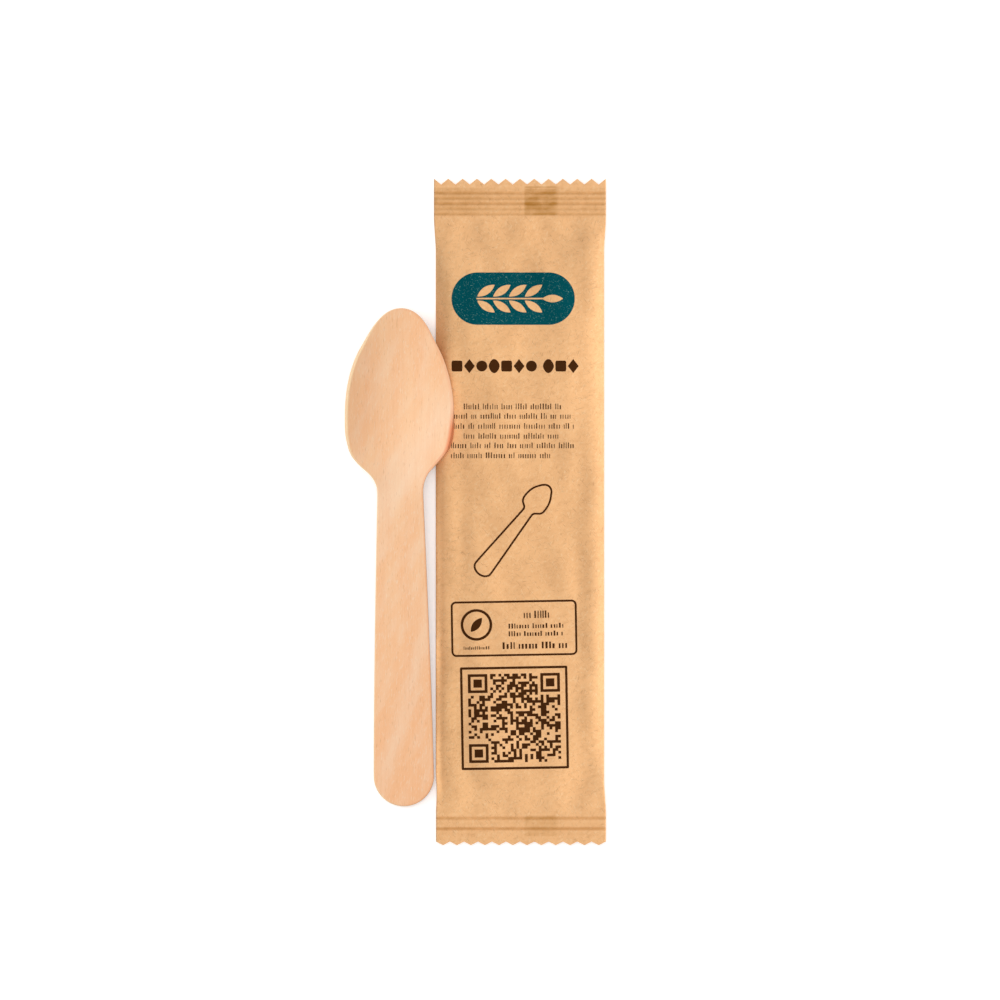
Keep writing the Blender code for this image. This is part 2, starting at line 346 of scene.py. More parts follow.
# Clouds, flock and lint: tint, amount, length, width, turn, low and high level, detail, seed.
PAPER_LAYERS = (
    (PAPER_DARK, 0.26, 9.0, 7.0, 20, 0.35, 0.7, 3.0, 0.0),
    (PAPER_DARK, 0.3, 1.6, 1.1, 15, 0.48, 0.72, 3.0, 0.0),
    (PAPER_PALE, 0.35, 0.75, 0.45, 60, 0.56, 0.72, 2.0, 40.0),
)
print(len(PAPER_LAYERS), "layers, and fibres in", 2 * len(FIBRE_TURNS), "directions")

# %% [markdown]
# Two papers are made from these: one that reads the tone of its mesh, and one without a tone for
# the leaves that the label leaves unprinted.


# %% Kraft paper
def make_kraft_paper(name, with_tone):
    """Paper with its layers and fibres. With a tone, it is darker by as much, a little unevenly."""
    made, tree, output = new_finish(name)
    place = place_in_mm(tree)
    colour = layered(tree, place, PAPER, PAPER_LAYERS)
    for turn, dark_seed, pale_seed in FIBRE_TURNS:
        dark = (*DARK_FIBRE, turn, *FIBRE_CUT, dark_seed)
        pale = (*PALE_FIBRE, turn + PALE_TURN, *FIBRE_CUT, pale_seed)
        colour = layered(tree, place, colour, (dark, pale))
    if with_tone:
        tone = add(tree, "ShaderNodeAttribute", {"attribute_name": "tone"}).outputs["Fac"]
        uneven = grains(tree, place, *UNEVEN_GRAINS)
        part = {"operation": "MULTIPLY_ADD", 1: UNEVEN_SHARE, 2: 1 - UNEVEN_SHARE}
        part = add(tree, "ShaderNodeMath", part, {0: uneven}).outputs[0]
        tone = add(tree, "ShaderNodeMath", {"operation": "MULTIPLY"}, {0: tone, 1: part}).outputs[0]
        # Darker by the tone: denser pressed paper, and painted shade in the grooves.
        colour = tinted(tree, colour, PAPER_PRESSED_AND_SHADE, tone)
    felt = {"Scale": FELT_SCALE, "Detail": FELT_DETAIL}
    felt = add(tree, "ShaderNodeTexNoise", felt, {"Vector": place}).outputs[0]
    relief = {"Strength": FELT_STRENGTH, "Distance": RELIEF}
    relief = add(tree, "ShaderNodeBump", relief, {"Height": felt})
    values = {"Roughness": PAPER_ROUGHNESS, "Specular IOR Level": PAPER_SHINE}
    links = {"Base Color": colour, "Normal": relief.outputs[0]}
    shader = add(tree, "ShaderNodeBsdfPrincipled", values, links)
    tree.links.new(shader.outputs[0], output.inputs[0])
    return made


kraft_paper = make_kraft_paper("kraft_paper", True)
plain_kraft = make_kraft_paper("kraft_paper_unprinted", False)
print("kraft paper:", len(kraft_paper.node_tree.nodes), "nodes")

# %% [markdown]
# ## Printing ink
#
# The print is flexographic: thin, water-based, matt ink that sinks into the paper. Fibres on the
# surface miss the ink here and there, which leaves pale specks in the large coloured field.


# %% Inks
INK_SHINE, INK_ROUGHNESS = 0.02, 0.7
SPECK_SIZE, SPECK_TO, SPECK_DETAIL = (0.6, 0.2), 0.8, 3.0
# Turn and seed of the specks.
SPECK_TURNS = ((25, 2.0), (95, 7.0), (150, 12.0))


def make_ink(name, ink, speck, amount, speck_from):
    """Ink with specks in three directions. The lower the level they start from, the more there are."""
    made, tree, output = new_finish(name)
    place = place_in_mm(tree)
    colour = ink
    for turn, seed in SPECK_TURNS:
        specks = (speck, amount, *SPECK_SIZE, turn, speck_from, SPECK_TO, SPECK_DETAIL, seed)
        colour = layered(tree, place, colour, [specks])
    values = {"Roughness": INK_ROUGHNESS, "Specular IOR Level": INK_SHINE}
    shader = add(tree, "ShaderNodeBsdfPrincipled", values, {"Base Color": colour})
    tree.links.new(shader.outputs[0], output.inputs[0])
    return made


teal_ink = make_ink("teal_ink", "#004e56", "#8fc0b0", amount=0.7, speck_from=0.636)
brown_ink = make_ink("brown_ink", "#45260e", "#8a5a30", amount=0.35, speck_from=0.66)
print("inks:", teal_ink.name, brown_ink.name)

# %% [markdown]
# ## Birch veneer
#
# The spoon is stamped from birch veneer, peeled from the log, steamed and pressed while hot. It
# has a plain, pale face with a fine grain along the handle, broad warm clouds, pores a millimetre
# or two long, and a paler band over the handle. A paler band across the bowl is painted highlight.
# The pores are drawn a little wider than real ones, to show. The cut edge shows the ends of the
# fibres, paler and matt.

# %% Colours and layers of the wood
BIRCH = "#fccb9d"
BIRCH_WARM = "#f8b27c"
BIRCH_GRAIN = "#e2a068"
BIRCH_PORE = "#b97c4a"
# Pale figure of the wood, and the painted highlight across the bowl.
BIRCH_PALE_AND_HIGHLIGHT = "#fde0c2"
# Painted shade on the cut edge, where it faces away from the lamp.
BIRCH_EDGE_SHADE = "#ee9060"
BIRCH_ROUGHNESS, BIRCH_IOR = 0.62, 1.5
WARM_FROM, WARM_TO, WARM_AMOUNT = 10.0, -62.0, 0.55
STREAK, STREAK_AMOUNT, STREAK_STRENGTH = (18.0, 0.4, 90, 0.4, 0.75, 2.0, 9.0), 0.14, 0.1
BIRCH_CLOUDS = (0.5, 26.0, 5.0, 90, 0.38, 0.72, 2.0, 4.0)
# Figure, flecks and pores, in the same columns as the paper's layers.
BIRCH_LAYERS = (
    (BIRCH_PALE_AND_HIGHLIGHT, 0.36, 9.0, 2.8, 68, 0.45, 0.8, 2.0, 13.0),
    (BIRCH_PALE_AND_HIGHLIGHT, 0.5, 1.1, 0.22, 84, 0.56, 0.74, 2.0, 17.0),
    (BIRCH_PORE, 0.45, 1.6, 0.13, 90, 0.66, 0.78, 1.0, 21.0),
)
print(len(BIRCH_LAYERS), "layers over clouds and streaks")

# %% [markdown]
# The pale bands, a painted highlight across the bowl and a paler band over the handle, have a
# place of their own, which noise can't give. A band is a distance from a straight line instead:
# the place is turned so that the line lies along X, and Y is the distance.

# %% Pale bands
# The first band is painted highlight across the bowl; the second lies over the handle.
# x, y, turn, width and amount of each band.
PALE_AND_HIGHLIGHT_BANDS = ((-12.5, 13.4, 54, 6.5, 0.4), (-14.0, -37.6, 74, 3.2, 0.28))


def band(tree, place, x, y, turn, width):
    """1 along a line through (x, y), turned from +X, and fading to 0 a width to either side of it."""
    turned = {"vector_type": "TEXTURE", "Location": (x, y, 0), "Rotation": (0, 0, math.radians(turn))}
    mapped = add(tree, "ShaderNodeMapping", turned, {"Vector": place}).outputs[0]
    across = add(tree, "ShaderNodeSeparateXYZ", {}, {0: mapped}).outputs["Y"]
    away = add(tree, "ShaderNodeMath", {"operation": "ABSOLUTE"}, {0: across}).outputs[0]
    faded = {"interpolation_type": "SMOOTHSTEP", "From Min": width, "From Max": 0.0}
    return add(tree, "ShaderNodeMapRange", faded, {"Value": away}).outputs[0]


print(len(PALE_AND_HIGHLIGHT_BANDS), "pale bands")

# %% [markdown]
# The face and the cut edge are one wood, so one function makes both. The edge is paler, and its
# patterns are weaker.


# %% Birch veneer
def make_birch(name, face, warm, strength):
    """Birch with its clouds, bands, streaks and layers. Its tone is painted shade on the cut edge."""
    made, tree, output = new_finish(name)
    place = place_in_mm(tree)
    colour = layered(tree, place, face, [(warm, *BIRCH_CLOUDS)], strength)
    along = add(tree, "ShaderNodeSeparateXYZ", {}, {0: place}).outputs["Y"]
    to_end = add(tree, "ShaderNodeMapRange", {"From Min": WARM_FROM, "From Max": WARM_TO}, {0: along})
    colour = tinted(tree, colour, warm, to_end.outputs[0], WARM_AMOUNT)
    # The band across the bowl is painted highlight.
    for x, y, turn, width, amount in PALE_AND_HIGHLIGHT_BANDS:
        pale = band(tree, place, x, y, turn, width)
        colour = tinted(tree, colour, BIRCH_PALE_AND_HIGHLIGHT, pale, amount * strength)
    streak = grains(tree, place, *STREAK)
    colour = tinted(tree, colour, BIRCH_GRAIN, streak, STREAK_AMOUNT * strength)
    colour = layered(tree, place, colour, BIRCH_LAYERS, strength)
    # The tone is painted shade on the cut edge.
    edge_shade = add(tree, "ShaderNodeAttribute", {"attribute_name": "tone"}).outputs["Fac"]
    colour = tinted(tree, colour, BIRCH_EDGE_SHADE, edge_shade)
    relief = {"Strength": STREAK_STRENGTH, "Distance": RELIEF}
    relief = add(tree, "ShaderNodeBump", relief, {"Height": streak})
    values = {"Roughness": BIRCH_ROUGHNESS, "IOR": BIRCH_IOR}
    links = {"Base Color": colour, "Normal": relief.outputs[0]}
    shader = add(tree, "ShaderNodeBsdfPrincipled", values, links)
    tree.links.new(shader.outputs[0], output.inputs[0])
    return made


birch_face = make_birch("birch_veneer", BIRCH, BIRCH_WARM, strength=1.0)
birch_edge = make_birch("birch_cut_edge", "#f8d5a8", "#f0bf8a", strength=0.6)
print("birch:", birch_face.name, birch_edge.name)

# %% [markdown]
# ## The teaspoon's outline
#
# The spoon is one stamped piece, so its outline says most about it. It could be traced as a curve
# by hand. Here it is a formula instead: half its width at each distance from the tip. The front of
# the bowl is drawn as the square of its width, which makes the very tip a true arc.

# %% Sizes of the spoon
SPOON_LENGTH = 110.0
VENEER_THICKNESS = 1.6
BOWL_WIDTH = 24.25
BOWL_WIDEST_AT = 24.5
BOWL_DEPTH = 4.2
TIP_RADIUS = 5.5
NECK_WIDTH = 10.16
NECK_AT = 41.5
DISH_RUN_OUT = 3.5
HANDLE_WIDTH = 13.3
HANDLE_SWELL = 1.3
TIP_LEAN, TIP_LEAN_LENGTH = 0.6, 6.5
SHOULDER_LEAN, SHOULDER_AT, SHOULDER_LEAN_LENGTH = 0.45, 34.5, 3.0
BOWL_FRONT = ((0, 0), (0.07, 0.337), (0.15, 0.476), (0.28, 0.63), (0.46, 0.813), (0.65, 0.93), (1, 1))
BOWL_BACK = ((0, 1), (0.27, 0.955), (0.46, 0.775), (0.59, 0.497), (0.72, 0.185), (0.83, 0.045), (1, 0))


print(f"a spoon of {SPOON_LENGTH:.0f} mm, and {BOWL_WIDTH:.2f} mm wide")

# %% [markdown]
# The parts of the outline meet with one slope: the front of the bowl, its back, the shaft and the
# round end.


# %% Outline
def spoon_half_width(t):
    """Half width at t from the tip: root of a curve, then an S to the neck, a swell, a half circle."""
    bowl, neck, handle = BOWL_WIDTH / 2, NECK_WIDTH / 2, HANDLE_WIDTH / 2
    front = [(share, width**2) for share, width in BOWL_FRONT]
    tip_slope = 2 * TIP_RADIUS * BOWL_WIDEST_AT / bowl**2
    squared = smooth_curve(front, np.clip(t / BOWL_WIDEST_AT, 0, 1), tip_slope)
    back_share = np.clip((t - BOWL_WIDEST_AT) / (NECK_AT - BOWL_WIDEST_AT), 0, 1)
    back = neck + (bowl - neck) * smooth_curve(BOWL_BACK, back_share)
    end_centre = SPOON_LENGTH - handle
    along = np.clip((t - NECK_AT) / (end_centre - NECK_AT), 0, 1)
    shaft = neck + (handle - neck) * (1 - (1 - along) ** HANDLE_SWELL)
    past = np.clip(t - end_centre, 0, handle)
    shaft = np.where(past > 0, np.sqrt(handle**2 - past**2), shaft)
    front_width = bowl * np.sqrt(np.clip(squared, 0, None))
    return np.where(t < BOWL_WIDEST_AT, front_width, np.where(t < NECK_AT, back, shaft))


def spoon_centre(t):
    """The middle of the outline leans a little to one side at the tip, to the other at the shoulder."""
    tip = TIP_LEAN * bump(t, TIP_LEAN_LENGTH)
    return tip - SHOULDER_LEAN * bump(t - SHOULDER_AT, SHOULDER_LEAN_LENGTH)


print(f"neck {2 * spoon_half_width(np.array(NECK_AT)):.2f} mm, bowl {BOWL_WIDTH} mm")

# %% [markdown]
# ## The spoon's dish
#
# The press pushes the middle of the bowl down and leaves its rim where it was. Lying on a table,
# the spoon then rests on the bottom of its bowl and on the end of its handle, so the whole plane
# slopes gently. Both are one height formula for the underside.

# %% Height of the underside
AWAY_FROM_ENDS = 0.05


def spoon_underside(x, t):
    """Depth x (1 - pressed (1 - across^2) - slope): a parabola across, eased in along the bowl."""
    t = np.clip(t, AWAY_FROM_ENDS, SPOON_LENGTH - AWAY_FROM_ENDS)
    fore = 1 - (1 - t / BOWL_WIDEST_AT) ** 2
    dish_end = NECK_AT + DISH_RUN_OUT
    back_share = np.clip((t - BOWL_WIDEST_AT) / (dish_end - BOWL_WIDEST_AT), 0, 1)
    back = np.cos(back_share * math.pi / 2) ** 2
    pressed = np.where(t < BOWL_WIDEST_AT, fore, back)
    across = (x - spoon_centre(t)) / spoon_half_width(t)
    slope = (t - BOWL_WIDEST_AT) / (SPOON_LENGTH - BOWL_WIDEST_AT)
    return BOWL_DEPTH * (1 - pressed * (1 - across**2) - slope)


def spoon_normal(x, t, step=0.02):
    """Direction straight up from the underside, from its slopes to either side of each point."""
    slope_x = (spoon_underside(x + step, t) - spoon_underside(x - step, t)) / (2 * step)
    slope_t = (spoon_underside(x, t + step) - spoon_underside(x, t - step)) / (2 * step)
    normal = np.stack([-slope_x, slope_t, np.ones_like(slope_x)], axis=-1)
    return normal / np.linalg.norm(normal, axis=-1, keepdims=True)


print(f"rim of the bowl {spoon_underside(BOWL_WIDTH / 2, BOWL_WIDEST_AT):.2f} mm above its bottom")

# %% [markdown]
# ## The spoon as rings
#
# A grid straight across the spoon would bunch up at its tip. Rings that follow the rim keep their
# spacing all round it, and let the rim have its own profile: a cut wall, with the slightly eased
# edges that tumbling gives such spoons. The rings start along the middle of the underside, run out
# to the rim, climb it, and come back in over the top.

# %% Rim and spine
RIM_STEPS = 220
SPINE_FROM_END = 6.0
EASED_EDGE = 0.22

share = (1 - np.cos(np.linspace(0, math.pi, RIM_STEPS + 1))) / 2
side_t = SPOON_LENGTH * share
rim_t = np.concatenate([side_t, side_t[-2:0:-1]])
rim_side = np.concatenate([-np.ones(RIM_STEPS + 1), np.ones(RIM_STEPS - 1)])
rim = np.stack([spoon_centre(rim_t) + rim_side * spoon_half_width(rim_t), -rim_t], axis=-1)
spine_t = np.clip(rim_t, SPINE_FROM_END, SPOON_LENGTH - SPINE_FROM_END)
spine = np.stack([spoon_centre(spine_t), -spine_t], axis=-1)
along_rim = np.roll(rim, -1, axis=0) - np.roll(rim, 1, axis=0)
along_rim /= np.linalg.norm(along_rim, axis=1, keepdims=True)
inward = np.stack([-along_rim[:, 1], along_rim[:, 0]], axis=1)
print(f"{len(rim)} points round the rim")

# %% [markdown]
# Along the left of the bowl the cut edge leans out, nearly square to the sloping veneer, so it
# shows from above as a pale band. On the right it was cut upright and hides below the rim, but
# for a short stretch at the shoulder. Painted shade darkens it there, and more faintly along the
# whole right side, which faces away from the spoon's lamp.

# %% Lean of the cut edge
LEFT_LEAN, LEAN_FROM, LEAN_TO, LEAN_FADE = 0.62, 1.0, 36.0, 9.0
SHOULDER_SPOT, SHOULDER_SPOT_LENGTH, SPOT_LEAN = 28.6, 4.4, 0.8
# Painted shade on the cut edge: strong at the shoulder, fainter along the whole right side.
SHOULDER_SHADE_TONE, RIGHT_EDGE_SHADE_TONE = 0.8, 0.35
SIDE_CHANGE = 2.2

on_left = ease(0.5 - np.clip(rim[:, 0] / BOWL_WIDTH, -0.5, 0.5) * SIDE_CHANGE)
lean = LEFT_LEAN * on_left * ease((rim_t - LEAN_FROM) / LEAN_FADE) * ease((LEAN_TO - rim_t) / LEAN_FADE)
spot = (rim_side > 0) * bump(rim_t - SHOULDER_SPOT, SHOULDER_SPOT_LENGTH)
lean = np.maximum(lean, SPOT_LEAN * spot)
edge_shade = np.clip(SHOULDER_SHADE_TONE * spot + RIGHT_EDGE_SHADE_TONE * (1 - on_left), 0, 1)
print(f"the cut edge leans by {lean.max():.2f} of the veneer's own slope at most")

# %% [markdown]
# The handle's end lies a small gap from the sachet's side. The bowl is wider, so its rim reaches
# over the paper, though the spoon is turned a little away.

# %% Place of the spoon
TIP_PLACE_BELOW_TOP = 28.7
HANDLE_GAP = 0.4
BODY_INSET = 0.4
SACHET_WIDTH = 38.0
SACHET_LENGTH = 147.3
SPOON_TURN = math.radians(0.70)

turn_cos, turn_sin = math.cos(SPOON_TURN), math.sin(SPOON_TURN)
end_x = -(SACHET_WIDTH / 2 - BODY_INSET + HANDLE_GAP + HANDLE_WIDTH / 2)
tip_x = end_x - (SPOON_LENGTH - HANDLE_WIDTH / 2) * turn_sin
tip_y = SACHET_LENGTH / 2 - TIP_PLACE_BELOW_TOP


def lay_spoon(points):
    """Turns the spoon by its small angle about its tip and moves it to its place by the sachet."""
    x = turn_cos * points[..., 0] - turn_sin * points[..., 1] + tip_x + sachet_x
    y = turn_sin * points[..., 0] + turn_cos * points[..., 1] + tip_y
    return np.stack([x, y, points[..., 2]], axis=-1)


print(f"the spoon's tip is at x {tip_x:.2f} and y {tip_y:.2f} mm on the sachet")

# %% [markdown]
# A ring has a reach from the spine to the rim, an inset and a height. Under the spoon the height
# is nothing. Two quarter circles and the wall between them climb the cut edge, and over the top
# the height is the veneer's thickness.

# %% Rings of the spoon
FACE_RINGS = 20
CORNER_RINGS = 5

corner = np.linspace(0, math.pi / 2, CORNER_RINGS)[:, None]
face_share = np.linspace(0, 1, FACE_RINGS + 1)[:, None]
reach = np.concatenate([face_share[:-1], np.ones((2 * CORNER_RINGS, 1)), face_share[-2::-1]])
inset_low = EASED_EDGE * (1 - np.sin(corner))
inset_high = EASED_EDGE * (1 - np.cos(corner))
on_face = np.full((FACE_RINGS, 1), EASED_EDGE)
inset = np.concatenate([on_face, inset_low, inset_high, on_face])
height_low = EASED_EDGE * (1 - np.cos(corner))
height_high = VENEER_THICKNESS - EASED_EDGE * (1 - np.sin(corner))
height = np.concatenate([0 * on_face, height_low, height_high, 0 * on_face + VENEER_THICKNESS])


print(f"{len(reach)} rings from the middle of the underside to the middle of the top")

# %% [markdown]
# The rings are then bent to the underside's formula, and raised from it by their heights.


# %% Points of the spoon
def make_spoon_points():
    """From spine to rim: spine + reach (rim + inset inward - spine), raised along the normal.

    Towards the rim, the sideways part of the raise is only as much as the cut edge leans there.
    """
    edge = rim[None] + inset[..., None] * inward[None]
    place = spine[None] + reach[..., None] * (edge - spine[None])
    x, t = place[..., 0], -place[..., 1]
    points = np.stack([x, -t, spoon_underside(x, t)], axis=-1)
    sideways = 1 + (lean - 1) * reach**2
    raised = height[..., None] * spoon_normal(x, t)
    points = points + raised * np.stack([sideways, sideways, np.ones_like(sideways)], axis=-1)
    points[..., 2] -= points[..., 2].min()
    return points


spoon_points = lay_spoon(make_spoon_points())
rings, around = spoon_points.shape[:2]
print(f"{rings} rings of {around} points")

# %% [markdown]
# The quads between the rings of the cut edge take the edge's finish. The points of the edge carry
# how far the cut scorched it as their tone.

# %% Teaspoon
on_edge = (np.arange(rings - 1) >= FACE_RINGS) & (np.arange(rings - 1) < rings - 1 - FACE_RINGS)
teaspoon = make_piece(
    "pressed_teaspoon",
    spoon_points.reshape(-1, 3),
    lattice(rings, around, wrap_columns=True),
    [birch_face, birch_edge],
    "birch_veneer",
    np.repeat(on_edge.astype(int), around),
    (edge_shade * ((reach == 1) & (inset < EASED_EDGE))).ravel(),
)
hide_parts("teaspoon")

# %% [markdown]
# ## The sachet's paper
#
# A flow-wrapping machine folds one web of paper into a tube, closes it down the back with a fin,
# and presses ribbed jaws across it at both ends. The front is then a pillow: level and flat in the
# seals, crowned between them. Cloth simulation could find such a shape. A formula is chosen here,
# because print has to lie on it to a few hundredths of a millimetre.

# %% Sizes of the sachet
BODY_INSET_LENGTH = 8.0
BODY_HEIGHT = 3.2
BULGE_HEIGHT, BULGE_FROM_TOP, BULGE_LENGTH = 2.2, 37.0, 18.0
EDGE_ROUND, CROWN_SHARE = 1.7, 0.18
LOFT_LENGTH = 20.0
CREASE_FROM_EDGE, CREASE_WIDTH, CREASE_DEPTH = 6.2, 2.0, 0.22
GATHER_COUNT, GATHER_DEPTH, GATHER_LENGTH = 5, 0.18, 6.0
SEAL_HEIGHT, SEAL_THICKNESS = 1.2, 0.35
CRIMP_PITCH = 1.16
TOP_CRIMPS, BOTTOM_CRIMPS = 5, 4
TOP_MARGIN, BOTTOM_MARGIN = 1.22, 1.3
TOOTH_COUNT = 12
TOP_TOOTH, BOTTOM_TOOTH = 1.28, 0.8
FIN_WIDTH, FIN_OFFSET, FIN_THICKNESS = 7.0, 4.6, 0.25
BACK_FLAT_SHARE, BACK_LOFT_LENGTH = 0.72, 12.0

half_width, half_length = SACHET_WIDTH / 2, SACHET_LENGTH / 2
top_line = half_length - TOP_TOOTH - TOP_MARGIN - TOP_CRIMPS * CRIMP_PITCH
bottom_line = -half_length + BOTTOM_TOOTH + BOTTOM_MARGIN + BOTTOM_CRIMPS * CRIMP_PITCH
print(f"seals above y {top_line:.1f} and below y {bottom_line:.1f} mm")

# %% [markdown]
# ## Wrinkles and folds
#
# Handling leaves paper with long, shallow wrinkles in no order. A sum of seeded waves gives them,
# always the same.

# %% Wrinkles
WRINKLES = 30
WRINKLE_SLOPE = 0.0032
WRINKLE_SHORTEST, WRINKLE_LONGEST = 5, 22
WRINKLE_TURN = 0.55

draw = np.random.default_rng(11)
wave_length = draw.uniform(WRINKLE_SHORTEST, WRINKLE_LONGEST, WRINKLES)
wave_turn = draw.normal(0, WRINKLE_TURN, WRINKLES)
wave_start = draw.uniform(0, 2 * math.pi, WRINKLES)


def wrinkles(x, y):
    """Sum of sines that mostly vary across the pack, each as high as its length times a slope."""
    total = 0 * (x + y)
    for length, turn, start in zip(wave_length, wave_turn, wave_start):
        phase = 2 * math.pi / length * (x * math.cos(turn) + y * math.sin(turn)) + start
        total = total + WRINKLE_SLOPE * length * np.sin(phase)
    return total


print(f"{WRINKLES} waves of {wave_length.min():.1f} to {wave_length.max():.1f} mm")

# %% [markdown]
# Broad ridges and dents are listed one by one, where the photograph shows them.

# %% Folds
# Middle x and y, length, width, degrees from +X and height of each fold.
FOLDS = (
    (16.9, -11.0, 14.0, 2.6, 90, 0.34),
    (16.2, 59.0, 8.0, 4.2, 90, 0.7),
    (-14.8, -7.0, 9.0, 1.3, 92, 0.14),
    (0.5, 1.0, 16.0, 7.0, 90, 0.35),
    (-18.0, -30.0, 36.0, 8.5, 87, -0.7),
    (-18.6, -48.0, 11.0, 3.6, 90, -0.45),
    (-14.8, -4.0, 12.0, 3.4, 92, -0.35),
    (-4.0, 57.0, 5.0, 4.2, 80, 0.42),
    (13.6, -61.0, 8.0, 2.8, 67, -0.5),
    (-11.0, -58.0, 9.0, 2.6, 110, -0.2),
    (-17.0, -61.0, 6.0, 4.0, 105, -0.4),
    (3.0, -36.0, 20.0, 6.0, 88, 0.2),
    (16.6, -36.0, 16.0, 2.4, 90, 0.3),
    (16.0, 30.0, 11.0, 3.2, 90, -0.5),
    (11.3, 13.0, 6.0, 2.5, 90, 0.3),
    (-16.5, 6.0, 6.0, 3.0, 90, -0.3),
    (2.6, 4.0, 52.0, 6.5, 90, -0.7),
    (6.3, -11.0, 9.0, 4.6, 90, -0.65),
    (9.0, 28.0, 10.0, 3.4, 90, -0.4),
)


def folds(x, y):
    """Broad ridges and dents, each a height times a bell along it and a bell across it."""
    total = 0 * (x + y)
    for middle_x, middle_y, length, width, degrees, height in FOLDS:
        cos, sin = math.cos(math.radians(degrees)), math.sin(math.radians(degrees))
        along = cos * (x - middle_x) + sin * (y - middle_y)
        across = cos * (y - middle_y) - sin * (x - middle_x)
        total = total + height * bump(along, length) * bump(across, width)
    return total


print(len(FOLDS), "folds")

# %% [markdown]
# ## Ribs of the seals
#
# The jaws leave ribs across each seal. In the photograph some are struck much harder than others,
# so each groove between two ribs has a strength of its own.

# %% Ribs
GROOVE_DEPTH = 0.24
GROOVE_WIDTH = 0.3
# How deep each groove is, from the body outwards.
TOP_GROOVES = (0.7, 0.65, 1.0, 0.8, 1.0)
BOTTOM_GROOVES = (1.15, 0.1, 1.3, 0.15)
TOP_SHIFT, BOTTOM_SHIFT = -0.1, -0.2


def grooves(y):
    """How deep each seal is pressed at y: a strength times a bell, in the middle of each pitch."""
    total = 0 * y
    first, last = top_line + TOP_SHIFT, bottom_line + BOTTOM_SHIFT
    for line, way, strengths in ((first, 1, TOP_GROOVES), (last, -1, BOTTOM_GROOVES)):
        for number, strength in enumerate(strengths):
            middle = line + way * (number + 0.5) * CRIMP_PITCH
            total = total + strength * bump(y - middle, GROOVE_WIDTH)
    return total


print(f"{TOP_CRIMPS} ribs at the top and {BOTTOM_CRIMPS} at the bottom")

# %% [markdown]
# ## Room for the spoon
#
# Where the loose spoon lies over the edge, the paper is pressed down below the wood. The spoon's
# own formula says how low, so the two can't cut through each other.

# %% Room under the spoon
FLANK_SLOPE, CLEARANCE = 4.0, 0.3


def room_under_spoon(x, y):
    """Height of the spoon's underside less a clearance, rising steeply outside its outline."""
    own_x = turn_cos * (x - tip_x) + turn_sin * (y - tip_y)
    t = turn_sin * (x - tip_x) - turn_cos * (y - tip_y)
    t_in = np.clip(t, AWAY_FROM_ENDS, SPOON_LENGTH - AWAY_FROM_ENDS)
    half = spoon_half_width(t_in)
    off_centre = own_x - spoon_centre(t_in)
    held = np.clip(off_centre, -half, half)
    outside = np.hypot(off_centre - held, t - t_in)
    return spoon_underside(spoon_centre(t_in) + held, t_in) + FLANK_SLOPE * outside - CLEARANCE


print(f"the paper keeps {CLEARANCE} mm below the wood")

# %% [markdown]
# ## Front and back of the paper
#
# Both faces are functions of a place on the sachet. The front one is used again for every mark of
# ink, and the back one for the fin. Both fade from the body to the level seals.


# %% The body between the seals
def inside_seals(y):
    """How far a place is from the nearer seal, in the body."""
    return np.clip(np.minimum(y - bottom_line, top_line - y), 0, None)


def half_width_at(y):
    """The body is a little narrower than the flat seals, because it is round."""
    return half_width - BODY_INSET * ease(inside_seals(y) / BODY_INSET_LENGTH)


print(f"the body is {2 * half_width_at(np.array(0.0)):.1f} mm wide")

# %% [markdown]
# The front is filled from inside: steep at the folds along its sides, nearly level over the
# middle, and highest over the bowl of the spoon in it. Each part is a term of one sum.

# %% Front
WRINKLED_FROM_SEAL = 6
FRONT_LIMIT = 5.33
SOFT_MEETING = 0.06


def paper_front(x, y):
    """Seal + body x loft x crown - creases + gathers + wrinkles, below the spoon, less the grooves.

    The crown is tanh(distance from the edge / round) x (1 - a share of the way out squared). The
    paper and the room under the spoon meet in a soft minimum, -s log(exp(-a/s) + exp(-b/s)).
    """
    inside = inside_seals(y)
    share = np.clip(np.abs(x) / half_width_at(y), 0, 1)
    loft = ease(inside / LOFT_LENGTH)
    bulge = BULGE_HEIGHT * bump(y - (half_length - BULGE_FROM_TOP), BULGE_LENGTH)
    from_edge = (1 - share) * half_width_at(y)
    crown = np.tanh(from_edge / EDGE_ROUND) * (1 - CROWN_SHARE * share**2)
    seal_top = SEAL_HEIGHT + SEAL_THICKNESS / 2
    crease = CREASE_DEPTH * bump(np.abs(x) - (half_width - CREASE_FROM_EDGE), CREASE_WIDTH) * loft
    by_seal = ease(inside / CRIMP_PITCH) * np.exp(-inside / GATHER_LENGTH)
    gather = GATHER_DEPTH * np.cos(GATHER_COUNT * math.pi * x / half_width) * by_seal * crown
    height = seal_top + (BODY_HEIGHT + bulge - seal_top) * loft * crown - crease + gather
    creased = np.clip(2 * crown, 0, 1) * ease(inside / WRINKLED_FROM_SEAL)
    height = height + (wrinkles(x, y) + folds(x, y)) * creased
    room = np.minimum(room_under_spoon(x, y), FRONT_LIMIT)
    height = -SOFT_MEETING * np.logaddexp(-height / SOFT_MEETING, -room / SOFT_MEETING)
    return height - GROOVE_DEPTH * grooves(y)


print(f"front at the middle {paper_front(np.array(0.0), np.array(0.0)):.2f} mm")

# %% [markdown]
# The sachet lies on its back, so the middle of the back is nearly flat. It is about one fin's
# thickness above the table, because the fin lies under it.

# %% Back
BACK_WRINKLES = 0.5


